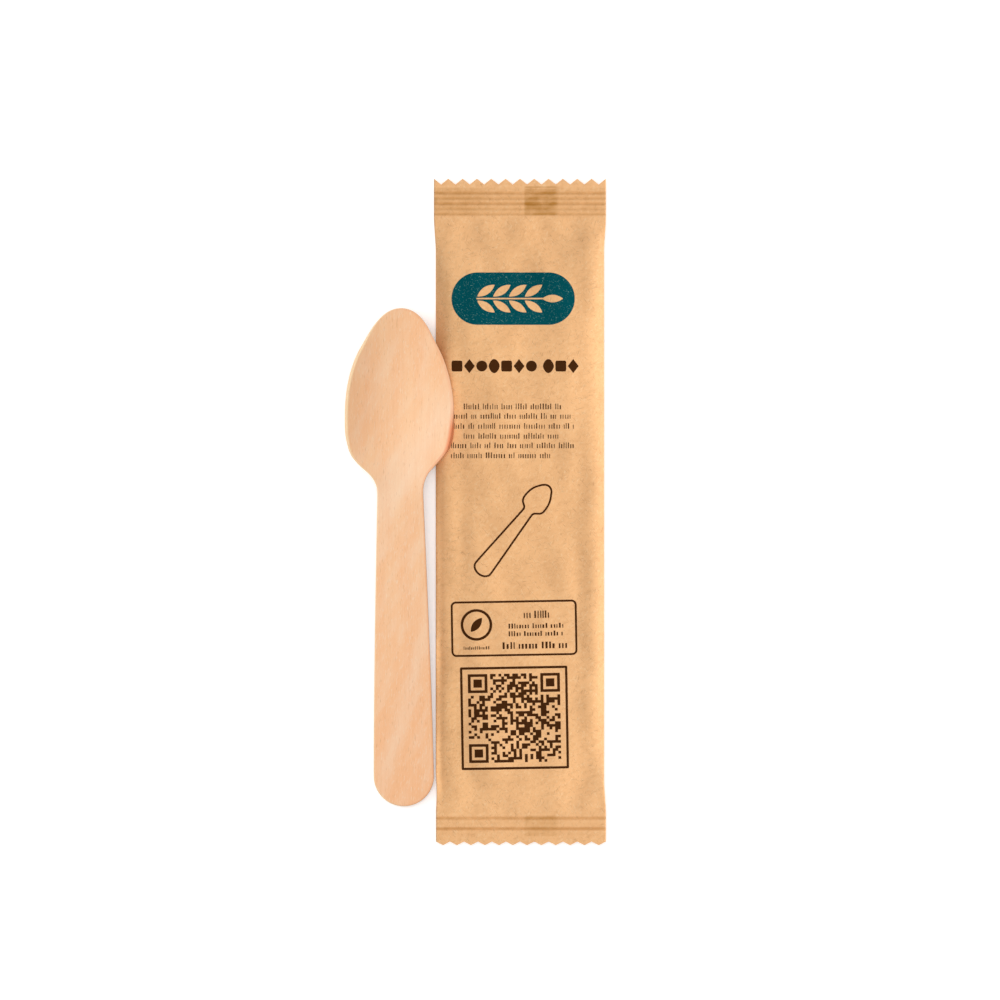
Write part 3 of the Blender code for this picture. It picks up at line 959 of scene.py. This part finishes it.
def paper_back(x, y):
    """Flat on the table in the middle, rising at the sides and to the seals, with the same grooves."""
    inside = inside_seals(y)
    share = np.clip(np.abs(x) / half_width_at(y), 0, 1)
    seal_back = SEAL_HEIGHT - SEAL_THICKNESS / 2
    flat = ease((1 - share) / (1 - BACK_FLAT_SHARE)) * ease(inside / BACK_LOFT_LENGTH)
    raised = BACK_WRINKLES * np.abs(wrinkles(y, x))
    height = seal_back + (raised - seal_back + FIN_THICKNESS) * flat - GROOVE_DEPTH * grooves(y)
    return np.minimum(height, paper_front(x, y) - SEAL_THICKNESS)


print(f"back at the middle {paper_back(np.array(0.0), np.array(0.0)):.2f} mm")

# %% [markdown]
# ## The zigzag ends
#
# A toothed knife cut both ends, so the last row of the lattice at each end runs in a zigzag. The
# lower end has whole teeth from side to side. The upper one has half a tooth at either side.


# %% Zigzag
def tooth_cut(x, first_tip, depth):
    """How far the zigzag is cut back from its tips, which are a pitch apart from first_tip on."""
    pitch = SACHET_WIDTH / TOOTH_COUNT
    from_tip = ((x - first_tip) / pitch + 0.5) % 1 - 0.5
    return 2 * depth * np.abs(from_tip)


def end_rows(low, high, x):
    """Rows y moved so that the first and the last follow the zigzag at each column x."""
    pitch = SACHET_WIDTH / TOOTH_COUNT
    low = low + tooth_cut(x, half_width - pitch / 2, BOTTOM_TOOTH)
    return low, high - tooth_cut(x, half_width, TOP_TOOTH)


print(f"{TOOTH_COUNT} teeth, {SACHET_WIDTH / TOOTH_COUNT:.2f} mm apart")

# %% [markdown]
# ## The sachet as a sheet
#
# The lattice is fine in the seals, where ribs are a millimetre apart, and coarser in the body.
# Each side is a fold, so there the two faces close in a small round.

# %% Lattice of the sachet
SEAL_ROW, BODY_ROW = 0.12, 0.75
COLUMNS_PER_TOOTH = 8
FOLD_RADIUS = 0.3
AT_FOLD = np.array([0.03, 0.09, 0.18, 0.35])


def make_sachet_faces():
    """x, y and both heights of the lattice. At a fold, a quarter circle closes the faces."""
    low_seal = np.arange(-half_length + BOTTOM_TOOTH + SEAL_ROW, bottom_line + 1, SEAL_ROW)
    high_seal = np.arange(half_length - TOP_TOOTH - SEAL_ROW, top_line - 1, -SEAL_ROW)[::-1]
    count = int((high_seal[0] - low_seal[-1]) / BODY_ROW)
    body = np.linspace(low_seal[-1], high_seal[0], count)[1:-1]
    y = np.concatenate([[-half_length], low_seal, body, high_seal, [half_length]])[:, None]
    shares = np.linspace(-1, 1, COLUMNS_PER_TOOTH * TOOTH_COUNT + 1)
    near_fold = 1 - AT_FOLD / half_width
    shares = np.unique(np.round(np.concatenate([shares, near_fold, -near_fold]), 6))[None, :]
    x = shares * half_width_at(y)
    y = np.broadcast_to(y, x.shape).copy()
    y[0], y[-1] = end_rows(y[0], y[-1], shares[0] * half_width)
    to_fold = np.clip((half_width_at(y) - np.abs(x)) / FOLD_RADIUS, 0, 1)
    closing = SEAL_THICKNESS / 2 * (1 - np.sqrt(1 - (1 - to_fold) ** 2))
    front, back = paper_front(x, y) - closing, paper_back(x, y) + closing
    return x, y, front, back


print("rows every", SEAL_ROW, "mm in the seals and", BODY_ROW, "mm in the body")

# %% [markdown]
# The tone of the paper is darker in each groove, partly because the paper is denser there and
# partly as painted shade in the hollow. It is darker too where the fin behind it makes the seal
# twice as thick, so that the jaws press it hardest. Two darker lines cross that square.

# %% Tone of the paper
# The groove tone is partly painted shade in the hollows.
GROOVE_SHADE_AND_PRESS_TONE, SEAM_TONE, STRIKE_TONE, LEFT_TONE = 0.4, 0.45, 0.12, 0.16
SEAM_EDGE, SEAM_FADE = 0.4, 1.4
PRESSED_FROM_END, PRESS_FADE = 1.8, 0.4
LEFT_FROM, LEFT_FADE = 6, 8
ABOVE_RIBS, LOW_SEAM_SHARE, BACK_TONE_SHARE = 0.7, 0.55, 0.6
# Distance from the upper end, width and tone of the two darker lines.
DASHES = ((1.85, 0.14, 0.7), (5.75, 0.5, 0.24))


def pressed_and_shaded_tone(x, y):
    """Groove depth times its tone, and more in the upper seal, at its left, and over the fin.

    The groove tone is partly painted shade.
    """
    left_of_fin, right_of_fin = FIN_OFFSET - FIN_WIDTH / 2, FIN_OFFSET + FIN_WIDTH / 2
    over_fin = ease((x - left_of_fin) / SEAM_EDGE + 0.5) * ease((right_of_fin - x) / SEAM_FADE + 0.5)
    pressed_to = half_length - PRESSED_FROM_END
    top_part = ease((y - top_line) / PRESS_FADE) * ease((pressed_to - y) / PRESS_FADE)
    low_part = ease((bottom_line - y) / PRESS_FADE) * ease((y + pressed_to) / PRESS_FADE)
    struck = (STRIKE_TONE + LEFT_TONE * ease((-x - LEFT_FROM) / LEFT_FADE)) * top_part
    dash = sum(tone * bump(y - half_length + from_end, width) for from_end, width, tone in DASHES)
    above = ABOVE_RIBS * ease((y - top_line - TOP_CRIMPS * CRIMP_PITCH) / PRESS_FADE)
    seam = SEAM_TONE * np.maximum(top_part * (1 - above), LOW_SEAM_SHARE * low_part) + dash
    return np.clip(GROOVE_SHADE_AND_PRESS_TONE * grooves(y) + struck + seam * over_fin, 0, 1)


print(f"the tone is {pressed_and_shaded_tone(FIN_OFFSET, top_line + CRIMP_PITCH):.2f} over the fin")

# %% [markdown]
# The upper face is the front, and the lower face the back. In the photograph the lower left corner
# stands a little further in than the solid's, so the lattice is drawn in there.

# %% Sachet
LOW_CORNER_INSET, LOW_CORNER_FROM, LOW_CORNER_FADE = 0.45, 10, 8


def drawn_in(x, y):
    """x moved towards the middle by an inset, eased in from the body to the lower left corner."""
    low = ease((bottom_line + LOW_CORNER_FROM - y) / LOW_CORNER_FADE)
    return x + LOW_CORNER_INSET * np.clip(-x / half_width, 0, 1) * low


x, y, front, back = make_sachet_faces()
upper = np.stack([drawn_in(x, y) + sachet_x, y, front], axis=-1)
lower = np.stack([drawn_in(x, y) + sachet_x, y, back], axis=-1)
tone = pressed_and_shaded_tone(x, y).ravel()
tone = np.concatenate([tone, BACK_TONE_SHARE * tone])
sachet = make_piece("kraft_sachet", *sheet(upper, lower), [kraft_paper], "kraft_paper", tone=tone)
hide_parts("sachet")

# %% [markdown]
# ## The fin down the back
#
# The web's two edges are sealed face to face between knurled wheels and laid flat to one side. It
# is a strip of its own here, with the wheels' fine ribs across it. One long edge is the fold that
# joins it to the back, and the other is free, a hair above the back.

# %% Fin
FIN_ROW, FIN_COLUMNS = 0.3, 24
FIN_RIB_PITCH, FIN_RIB_DEPTH = 1.5, 0.05
FIN_RIB_EDGE, FIN_TONE = 0.15, 0.08
FIN_SUNK, FIN_FREE = 0.05, 0.03

y = np.arange(-half_length, half_length + FIN_ROW / 2, FIN_ROW)[:, None]
across = np.linspace(0, 1, FIN_COLUMNS)[None, :]
x = FIN_OFFSET + FIN_WIDTH * (across - 0.5) + 0 * y
y = np.broadcast_to(y, x.shape).copy()
y = np.clip(y, *end_rows(-half_length, half_length, x))
rib = FIN_RIB_DEPTH * (0.5 + 0.5 * np.cos(2 * math.pi * y / FIN_RIB_PITCH))
rib = rib * ease(across / FIN_RIB_EDGE) * ease((1 - across) / FIN_RIB_EDGE)
under = paper_back(x, y)
upper = np.stack([x + sachet_x, y, under + FIN_SUNK - (FIN_SUNK + FIN_FREE) * across], axis=-1)
lower = np.stack([x + sachet_x, y, under - FIN_THICKNESS + rib], axis=-1)
points, quads = sheet(upper, lower)
tone = np.full(len(points), FIN_TONE)
make_piece("back_seam", points, quads, [kraft_paper], "kraft_paper", tone=tone)

# %% [markdown]
# ## Marks of ink
#
# An image could carry the print, but an image has one fixed sharpness. Each mark here is instead a
# closed plate a few hundredths of a millimetre thick, bent to the paper's own height. Two makers
# are enough: a patch, which is a length with a height at each place along it, and a stroke, which
# is a line of even width that closes on itself.

# %% Patch
INK = 0.02
PATCH_STEP = 0.6


def turned(x, y, centre, degrees):
    """Local places turned counterclockwise and moved to a centre, on the sachet."""
    angle = math.radians(degrees)
    cos, sin = math.cos(angle), math.sin(angle)
    return centre[0] + cos * x - sin * y, centre[1] + sin * x + cos * y


def on_paper(x, y, rise):
    """Places on the sachet's front, raised by a little."""
    return np.stack([x + sachet_x, y, paper_front(x, y) + rise], axis=-1)


def patch(centre, length, height, degrees=0.0, columns=None, rows=None, lift=0.0):
    """Plate of a length and a height, or of a half height that is a function of the way along."""
    along = np.linspace(-1, 1, columns or math.ceil(length / PATCH_STEP) + 1)
    if callable(height):
        along = np.sin(along * math.pi / 2)
    half_height = height(along) if callable(height) else height / 2 + 0 * along
    up = np.linspace(-1, 1, rows or math.ceil(2 * half_height.max() / PATCH_STEP) + 1)[:, None]
    x, y = turned(along * length / 2 + 0 * up, up * half_height, centre, degrees)
    return sheet(on_paper(x, y, lift + INK), on_paper(x, y, lift - INK))


print("a patch is", 2 * INK, "mm thick")

# %% [markdown]
# A stroke is four lines of points round a closed path, two above the paper and two below it. The
# frames, the ring and the drawn spoon of the print are such paths.


# %% Stroke
def stroke(x, y, width):
    """Band of a width along a closed counterclockwise path, as a ring with a square section."""
    ahead_x, ahead_y = np.roll(x, -1) - np.roll(x, 1), np.roll(y, -1) - np.roll(y, 1)
    length = np.hypot(ahead_x, ahead_y)
    out_x, out_y = ahead_y / length * width / 2, -ahead_x / length * width / 2
    outer, inner = (x + out_x, y + out_y), (x - out_x, y - out_y)
    section = ((outer, -INK), (outer, INK), (inner, INK), (inner, -INK))
    points = np.concatenate([on_paper(*place, rise) for place, rise in section])
    return points, lattice(len(section), len(x), wrap_rows=True, wrap_columns=True)


FRAME_SPACING, LEAST_SPACING = 0.3, 1e-4
CORNER_POINTS = 7


def rounded_frame(width, height, radius):
    """Counterclockwise path round a rectangle with quarter circles as corners, at even spacing."""
    quarter = np.linspace(0, math.pi / 2, CORNER_POINTS)
    angle = np.concatenate([quarter + k * math.pi / 2 for k in range(4)])
    side_x = np.repeat([1, -1, -1, 1], CORNER_POINTS) * (width / 2 - radius)
    side_y = np.repeat([1, 1, -1, -1], CORNER_POINTS) * (height / 2 - radius)
    x, y = side_x + radius * np.cos(angle), side_y + radius * np.sin(angle)
    x, y = np.append(x, x[0]), np.append(y, y[0])
    way = np.concatenate([[0], np.cumsum(np.hypot(np.diff(x), np.diff(y)))])
    between = np.arange(0, way[-1] - FRAME_SPACING / 2, FRAME_SPACING)
    even = np.unique(np.concatenate([way[:-1], between]))
    even = even[np.concatenate([[True], np.diff(even) > LEAST_SPACING])]
    return np.interp(even, way, x), np.interp(even, way, y)


print("a frame has a point at least every", FRAME_SPACING, "mm")

# %% [markdown]
# ## A plain coloured label
#
# Near the top is a teal field: a bar with round ends, and a sprig of leaves that is left in the
# colour of the paper.

# %% Teal label with a sprig
LABEL_AT = (-1.5, 47.1)
LABEL_LENGTH, LABEL_HEIGHT = 27.2, 11.6
LEAF_LENGTH, LEAF_WIDTH, LEAF_TURN, LEAF_GRID = 4.6, 1.7, 34, (14, 4)
LEAF_PAIRS, FIRST_PAIR, PAIR_PITCH, PAIR_REACH = 4, -6.0, 3.5, 1.75
STEM_AT, STEM_LENGTH, STEM_WIDTH, END_LEAF_AT = -0.6, 15.0, 0.32, 8.7


def round_ended(along):
    """Half height: level, then a half circle at either end."""
    past = np.abs(along) * LABEL_LENGTH / 2 - (LABEL_LENGTH - LABEL_HEIGHT) / 2
    return np.sqrt(np.clip((LABEL_HEIGHT / 2) ** 2 - np.clip(past, 0, None) ** 2, 0, None))


def leaf_shape(along):
    """Half height: half the leaf's width times a cosine to the power of 0.8, pointed at both ends."""
    return LEAF_WIDTH / 2 * np.clip(np.cos(along * math.pi / 2), 0, None) ** 0.8


label = patch(LABEL_AT, LABEL_LENGTH, round_ended, columns=80, rows=20)
make_piece("label_print", *label, [teal_ink], "kraft_paper")
label_x, label_y = LABEL_AT
sprig = [patch((label_x + STEM_AT, label_y), STEM_LENGTH, STEM_WIDTH, columns=20, lift=INK)]
for number in range(LEAF_PAIRS):
    for way in (1, -1):
        centre = (label_x + FIRST_PAIR + PAIR_PITCH * number, label_y + way * PAIR_REACH)
        sprig.append(patch(centre, LEAF_LENGTH, leaf_shape, way * LEAF_TURN, *LEAF_GRID, INK))
centre = (label_x + END_LEAF_AT, label_y)
sprig.append(patch(centre, LEAF_LENGTH, leaf_shape, 0, *LEAF_GRID, INK))
make_piece("label_sprig", *joined(sprig), [plain_kraft], "kraft_paper")

# %% [markdown]
# ## Lines that say nothing
#
# Above its middle, the sachet carries lines of small upright marks. Their heights, widths and gaps
# follow those of type, so the page keeps its greyness, and no letter can be read.

# %% Upright marks
SHORT_MARK, GAP_VARIES = 0.72, (0.8, 1.2)
FIRST_WORD, NEXT_WORDS = (3, 9), (3, 10)
draw = np.random.default_rng(5)


def upright_marks(left, right, y, height, mark, gap, word=0, turn=0.0, centre=(0.0, 0.0)):
    """Marks from left to right, each of a seeded width and height, with a wider gap between words."""
    made, x, in_word = [], left, draw.integers(*FIRST_WORD)
    while x < right - mark[0]:
        width = draw.uniform(*mark)
        tall = height * draw.choice([SHORT_MARK, SHORT_MARK, 1.0])
        place = turned(x + width / 2, y - (height - tall) / 2, centre, turn)
        made.append(patch(place, width, tall, turn))
        x += width + gap * draw.uniform(*GAP_VARIES)
        in_word -= 1
        if word and in_word <= 0:
            x += word
            in_word = draw.integers(*NEXT_WORDS)
    return made


print("a word has from", FIRST_WORD[0], "to", NEXT_WORDS[1] - 1, "marks")

# %% [markdown]
# The six lines have the places and lengths of the small lines in the photograph.

# %% Small lines
LINE_HEIGHT, MARK_WIDTHS, MARK_GAP, WORD_GAP = 1.25, (0.14, 0.26), 0.33, 0.6
# y, left end and right end of each line.
LINE_PLACES = (
    (23.3, -12.4, 9.0),
    (21.2, -14.6, 11.9),
    (19.0, -14.6, 11.9),
    (16.8, -12.4, 8.8),
    (14.7, -15.2, 11.9),
    (12.5, -15.2, 6.8),
)

lines = []
for y, left, right in LINE_PLACES:
    lines += upright_marks(left, right, y, LINE_HEIGHT, MARK_WIDTHS, MARK_GAP, WORD_GAP)
make_piece("small_print", *joined(lines), [brown_ink], "kraft_paper")

# %% [markdown]
# ## A heading of plain shapes
#
# Above them is a bold heading: a row of squares, diamonds, discs and pointed ovals in two groups.
# Each is a patch whose half height follows a simple rule along its length.

# %% Shapes of the heading
HEADING_WIDTH, HEADING_HEIGHT = 2.4, 3.1


def disc(along):
    """Half height of a circle: root of 1 - along squared."""
    return HEADING_WIDTH / 2 * np.sqrt(np.clip(1 - along**2, 0, None))


def diamond(along):
    """Half height falls evenly from the middle."""
    return HEADING_HEIGHT / 2 * (1 - np.abs(along))


def rounded_square(along):
    """Half height is level nearly to the ends: fourth root of 1 - along to the power of 12."""
    return HEADING_WIDTH / 2 * np.clip(1 - np.abs(along) ** 12, 0, None) ** 0.25


def lens(along):
    """Half height is a cosine to the power of 0.6, pointed at both ends."""
    return HEADING_HEIGHT / 2 * np.clip(np.cos(along * math.pi / 2), 0, None) ** 0.6


print("shapes from", HEADING_WIDTH, "to", HEADING_HEIGHT, "mm high")

# %% [markdown]
# The shapes follow one another in turn, with a wider gap between the two groups.

# %% Heading
HEADING_LEFT, HEADING_AT, HEADING_PITCH = -15.1, 32.2, 2.74
HEADING_COUNT, HEADING_BREAK, BREAK_WIDTH = 10, 7, 1.0

heading = []
for number in range(HEADING_COUNT):
    shape = (rounded_square, diamond, disc, lens)[number % 4]
    middle = HEADING_LEFT + HEADING_WIDTH / 2 + HEADING_PITCH * number
    middle += BREAK_WIDTH * (number >= HEADING_BREAK)
    heading.append(patch((middle, HEADING_AT), HEADING_WIDTH, shape, columns=21, rows=7))
make_piece("heading_print", *joined(heading), [brown_ink], "kraft_paper")

# %% [markdown]
# ## A drawing of the spoon
#
# The line drawing on the sachet shows such a spoon, with a shorter bowl and a broader handle. It is
# made from the same outline, scaled down and turned, with its parts stretched to other shares.

# %% Drawn spoon
DRAWN_AT, DRAWN_LENGTH, DRAWN_TURN, DRAWN_LINE = (-1.4, -3.95), 24.8, -38.4, 0.42
DRAWN_WIDEST, DRAWN_NECK = 0.19, 0.305
DRAWN_BREADTHS = (1.0, 1.0, 1.42)

places = (0, BOWL_WIDEST_AT, NECK_AT, SPOON_LENGTH)
drawn_share = np.interp(rim_t, places, (0, DRAWN_WIDEST, DRAWN_NECK, 1))
breadth = np.interp(drawn_share, (DRAWN_WIDEST, DRAWN_NECK, 1), DRAWN_BREADTHS)
drawn_x = rim[:, 0] * breadth * DRAWN_LENGTH / SPOON_LENGTH
drawn_x, drawn_y = turned(drawn_x, (0.5 - drawn_share) * DRAWN_LENGTH, DRAWN_AT, DRAWN_TURN)
make_piece("drawn_spoon", *stroke(drawn_x, drawn_y, DRAWN_LINE), [brown_ink], "kraft_paper")

# %% [markdown]
# ## A framed panel
#
# Below it is a frame with round corners, as such sachets have for a note on the material. Here it
# holds a ring with one leaf, and lines of marks.

# %% Panel
PANEL_AT, PANEL_WIDTH, PANEL_HEIGHT, PANEL_TURN = (-1.3, -25.7), 27.4, 11.8, 1.0
PANEL_LINE, PANEL_CORNER = 0.44, 0.9
RING_AT, RING_RADIUS, RING_LINE, RING_POINTS = (-8.3, 0.9), 3.2, 0.58, 48
RING_LEAF_LENGTH, RING_LEAF_TURN = 0.85 * LEAF_LENGTH, 52
# Left and right end, height above the middle, marks' height, their widths, their gap, word gap.
PANEL_ROWS = (
    (2.2, 7.8, 3.0, 1.6, (0.2, 0.4), 0.32, 0.5),
    (-1.2, 11.2, 0.5, 1.1, (0.2, 0.4), 0.32, 0.5),
    (-1.2, 11.2, -1.2, 1.1, (0.2, 0.4), 0.32, 0.5),
    (-2.6, 12.2, -3.8, 1.5, (0.24, 0.5), 0.36, 0.6),
    (-11.2, -5.4, -4.2, 0.7, (0.14, 0.24), 0.22, 0.0),
)

x, y = rounded_frame(PANEL_WIDTH, PANEL_HEIGHT, PANEL_CORNER)
panel = [stroke(*turned(x, y, PANEL_AT, PANEL_TURN), PANEL_LINE)]
angle = np.linspace(0, 2 * math.pi, RING_POINTS, endpoint=False)
x, y = RING_AT[0] + RING_RADIUS * np.cos(angle), RING_AT[1] + RING_RADIUS * np.sin(angle)
panel.append(stroke(*turned(x, y, PANEL_AT, PANEL_TURN), RING_LINE))
centre = turned(*RING_AT, PANEL_AT, PANEL_TURN)
panel.append(patch(centre, RING_LEAF_LENGTH, leaf_shape, RING_LEAF_TURN, *LEAF_GRID))
for row in PANEL_ROWS:
    panel += upright_marks(*row, PANEL_TURN, PANEL_AT)
make_piece("panel_print", *joined(panel), [brown_ink], "kraft_paper")

# %% [markdown]
# ## A square of random cells
#
# The lowest mark is a square of cells, as machines read them. It carries nothing: its cells are a
# seeded draw, with a smaller square in three corners. Cells that touch in a row are one patch,
# which keeps the mesh small.

# %% Cells
CODE_AT, CODE_TURN = (-1.2, -45.5), 1.0
CODE_FRAME, CODE_LINE, CODE_CORNER = (23.2, 22.2), 0.52, 0.05
CELLS, CELL, ROW = 33, 0.616, 0.594
CORNER = 7
OVERLAP = 0.01
DARK_SHARE = 0.5

draw = np.random.default_rng(23)
dark = draw.random((CELLS, CELLS)) < DARK_SHARE
distance = np.maximum(*np.abs(np.indices((CORNER + 2, CORNER + 2)) - (CORNER + 1) / 2))
ring = (distance == CORNER // 2) | (distance < 2)
clear = CORNER + 1
dark[-clear:, :clear] = ring[:-1, 1:]
dark[-clear:, -clear:] = ring[:-1, :-1]
dark[:clear, :clear] = ring[1:, 1:]
x, y = rounded_frame(*CODE_FRAME, CODE_CORNER)
code = [stroke(*turned(x, y, CODE_AT, CODE_TURN), CODE_LINE)]
for row, cells in enumerate(dark):
    change = np.flatnonzero(np.diff(np.concatenate([[0], cells.astype(int), [0]])))
    for start, stop in zip(change[::2], change[1::2]):
        local = ((start + stop - CELLS) / 2 * CELL, (row + 0.5 - CELLS / 2) * ROW)
        length = (stop - start) * CELL + OVERLAP
        place = turned(*local, CODE_AT, CODE_TURN)
        code.append(patch(place, length, ROW + OVERLAP, CODE_TURN, int(stop - start) + 1))
make_piece("cell_print", *joined(code), [brown_ink], "kraft_paper")

# %% [markdown]
# ## The floor
#
# A plain white table. Its colour is a true white, and a little light of its own is added for the
# camera and for reflections only, so that it reads as a white page and still takes a shadow.

# %% Floor
FLOOR_HALF = 3.0
FLOOR_DROP = 0.00002

floor_mesh = bpy.data.meshes.new("floor")
corners = [(-FLOOR_HALF, -FLOOR_HALF, 0), (FLOOR_HALF, -FLOOR_HALF, 0)]
corners += [(FLOOR_HALF, FLOOR_HALF, 0), (-FLOOR_HALF, FLOOR_HALF, 0)]
floor_mesh.from_pydata(corners, [], [(0, 1, 2, 3)])
floor = bpy.data.objects.new("floor", floor_mesh)
floor.location.z = -FLOOR_DROP
bpy.context.scene.collection.objects.link(floor)
floor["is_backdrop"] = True
print("the floor is", 2 * FLOOR_HALF, "m wide")

# %% [markdown]
# Its finish adds the light to the paint only for rays from the camera or from a reflection.

# %% White table
FLOOR_GLOW = 0.26

floor_finish, tree, output = new_finish("white_table")
paint = add(tree, "ShaderNodeBsdfDiffuse", {"Color": "#fdfdfd"}).outputs[0]
seen = add(tree, "ShaderNodeLightPath")
either = add(tree, "ShaderNodeMath", {"operation": "MAXIMUM"}, {0: seen.outputs["Is Camera Ray"]})
tree.links.new(seen.outputs["Is Glossy Ray"], either.inputs[1])
glow = add(tree, "ShaderNodeMath", {"operation": "MULTIPLY", 1: FLOOR_GLOW}, {0: either.outputs[0]})
light = add(tree, "ShaderNodeEmission", {}, {"Strength": glow.outputs[0]}).outputs[0]
both = add(tree, "ShaderNodeAddShader", {}, {0: paint, 1: light}).outputs[0]
tree.links.new(both, output.inputs[0])
floor_mesh.materials.append(floor_finish)
print("floor finish:", len(tree.nodes), "nodes")

# %% [markdown]
# ## Light
#
# A plain studio: an even white surround gives nearly half of the light, and soft lamps give the
# rest. The camera sees the surround as full white.

# %% Surround
SURROUND = 0.46

world = bpy.data.worlds.new("studio")
world.use_nodes = True
tree = world.node_tree
tree.nodes["Background"].inputs["Color"].default_value = (1, 1, 1, 1)
seen = add(tree, "ShaderNodeLightPath").outputs["Is Camera Ray"]
strength = {"operation": "MULTIPLY_ADD", 1: 1 - SURROUND, 2: SURROUND}
strength = add(tree, "ShaderNodeMath", strength, {0: seen}).outputs[0]
tree.links.new(strength, tree.nodes["Background"].inputs["Strength"])
bpy.context.scene.world = world
print("the surround gives", SURROUND, "of the light")

# %% [markdown]
# The power of each lamp is worked out from the share of a level surface's brightness that it
# should give, so all shares together make about 1 and colours look as they are written. In the
# photograph the spoon is lit from its left and the sachet from its right, so each has a lamp of
# its own.


# %% Lamps
def add_lamp(name, azimuth, elevation, share, size=0.5, distance=0.9, lit=(), shading=()):
    """Square lamp: power = share x pi^2 x distance^2 / sine of its elevation."""
    lamp = bpy.data.lights.new(name, "AREA")
    lamp.size = size
    height = math.sin(math.radians(elevation))
    lamp.energy = share * math.pi**2 * distance**2 / height
    made = bpy.data.objects.new(name, lamp)
    level = math.cos(math.radians(elevation))
    turn = math.radians(azimuth)
    made.location = distance * np.array([level * math.cos(turn), level * math.sin(turn), height])
    made.rotation_euler = (0, math.radians(90 - elevation), turn)
    bpy.context.scene.collection.objects.link(made)
    for part, pieces in (("receiver_collection", lit), ("blocker_collection", shading)):
        if pieces:
            group = bpy.data.collections.new(f"{name}_{part}")
            for piece in pieces:
                group.objects.link(piece)
            setattr(made.light_linking, part, group)
    print(f"{name}: {lamp.energy:.2f} W")


papers = [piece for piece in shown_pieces() if piece.name != teaspoon.name]
by_spoon = [teaspoon, floor]
add_lamp("overhead", azimuth=90, elevation=86, share=0.22, size=0.6)
add_lamp("left_lamp", azimuth=160, elevation=40, share=0.18, lit=by_spoon, shading=[teaspoon])
add_lamp("second_overhead", azimuth=180, elevation=80, share=0.15, size=0.6, lit=by_spoon)
add_lamp("right_lamp", azimuth=-8, elevation=28, share=0.31, lit=papers)

# %% [markdown]
# ## Sizes
#
# The dressed model's box is printed beside the box of the solids it dresses. The
# dressed model has to stay inside the box of the solids it dresses.

# %% Sizes
final_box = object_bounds()
for corner, kept in zip(final_box, cad_box):
    print("visual", [round(v / MM, 2) for v in corner], "solids", [round(v / MM, 2) for v in kept])
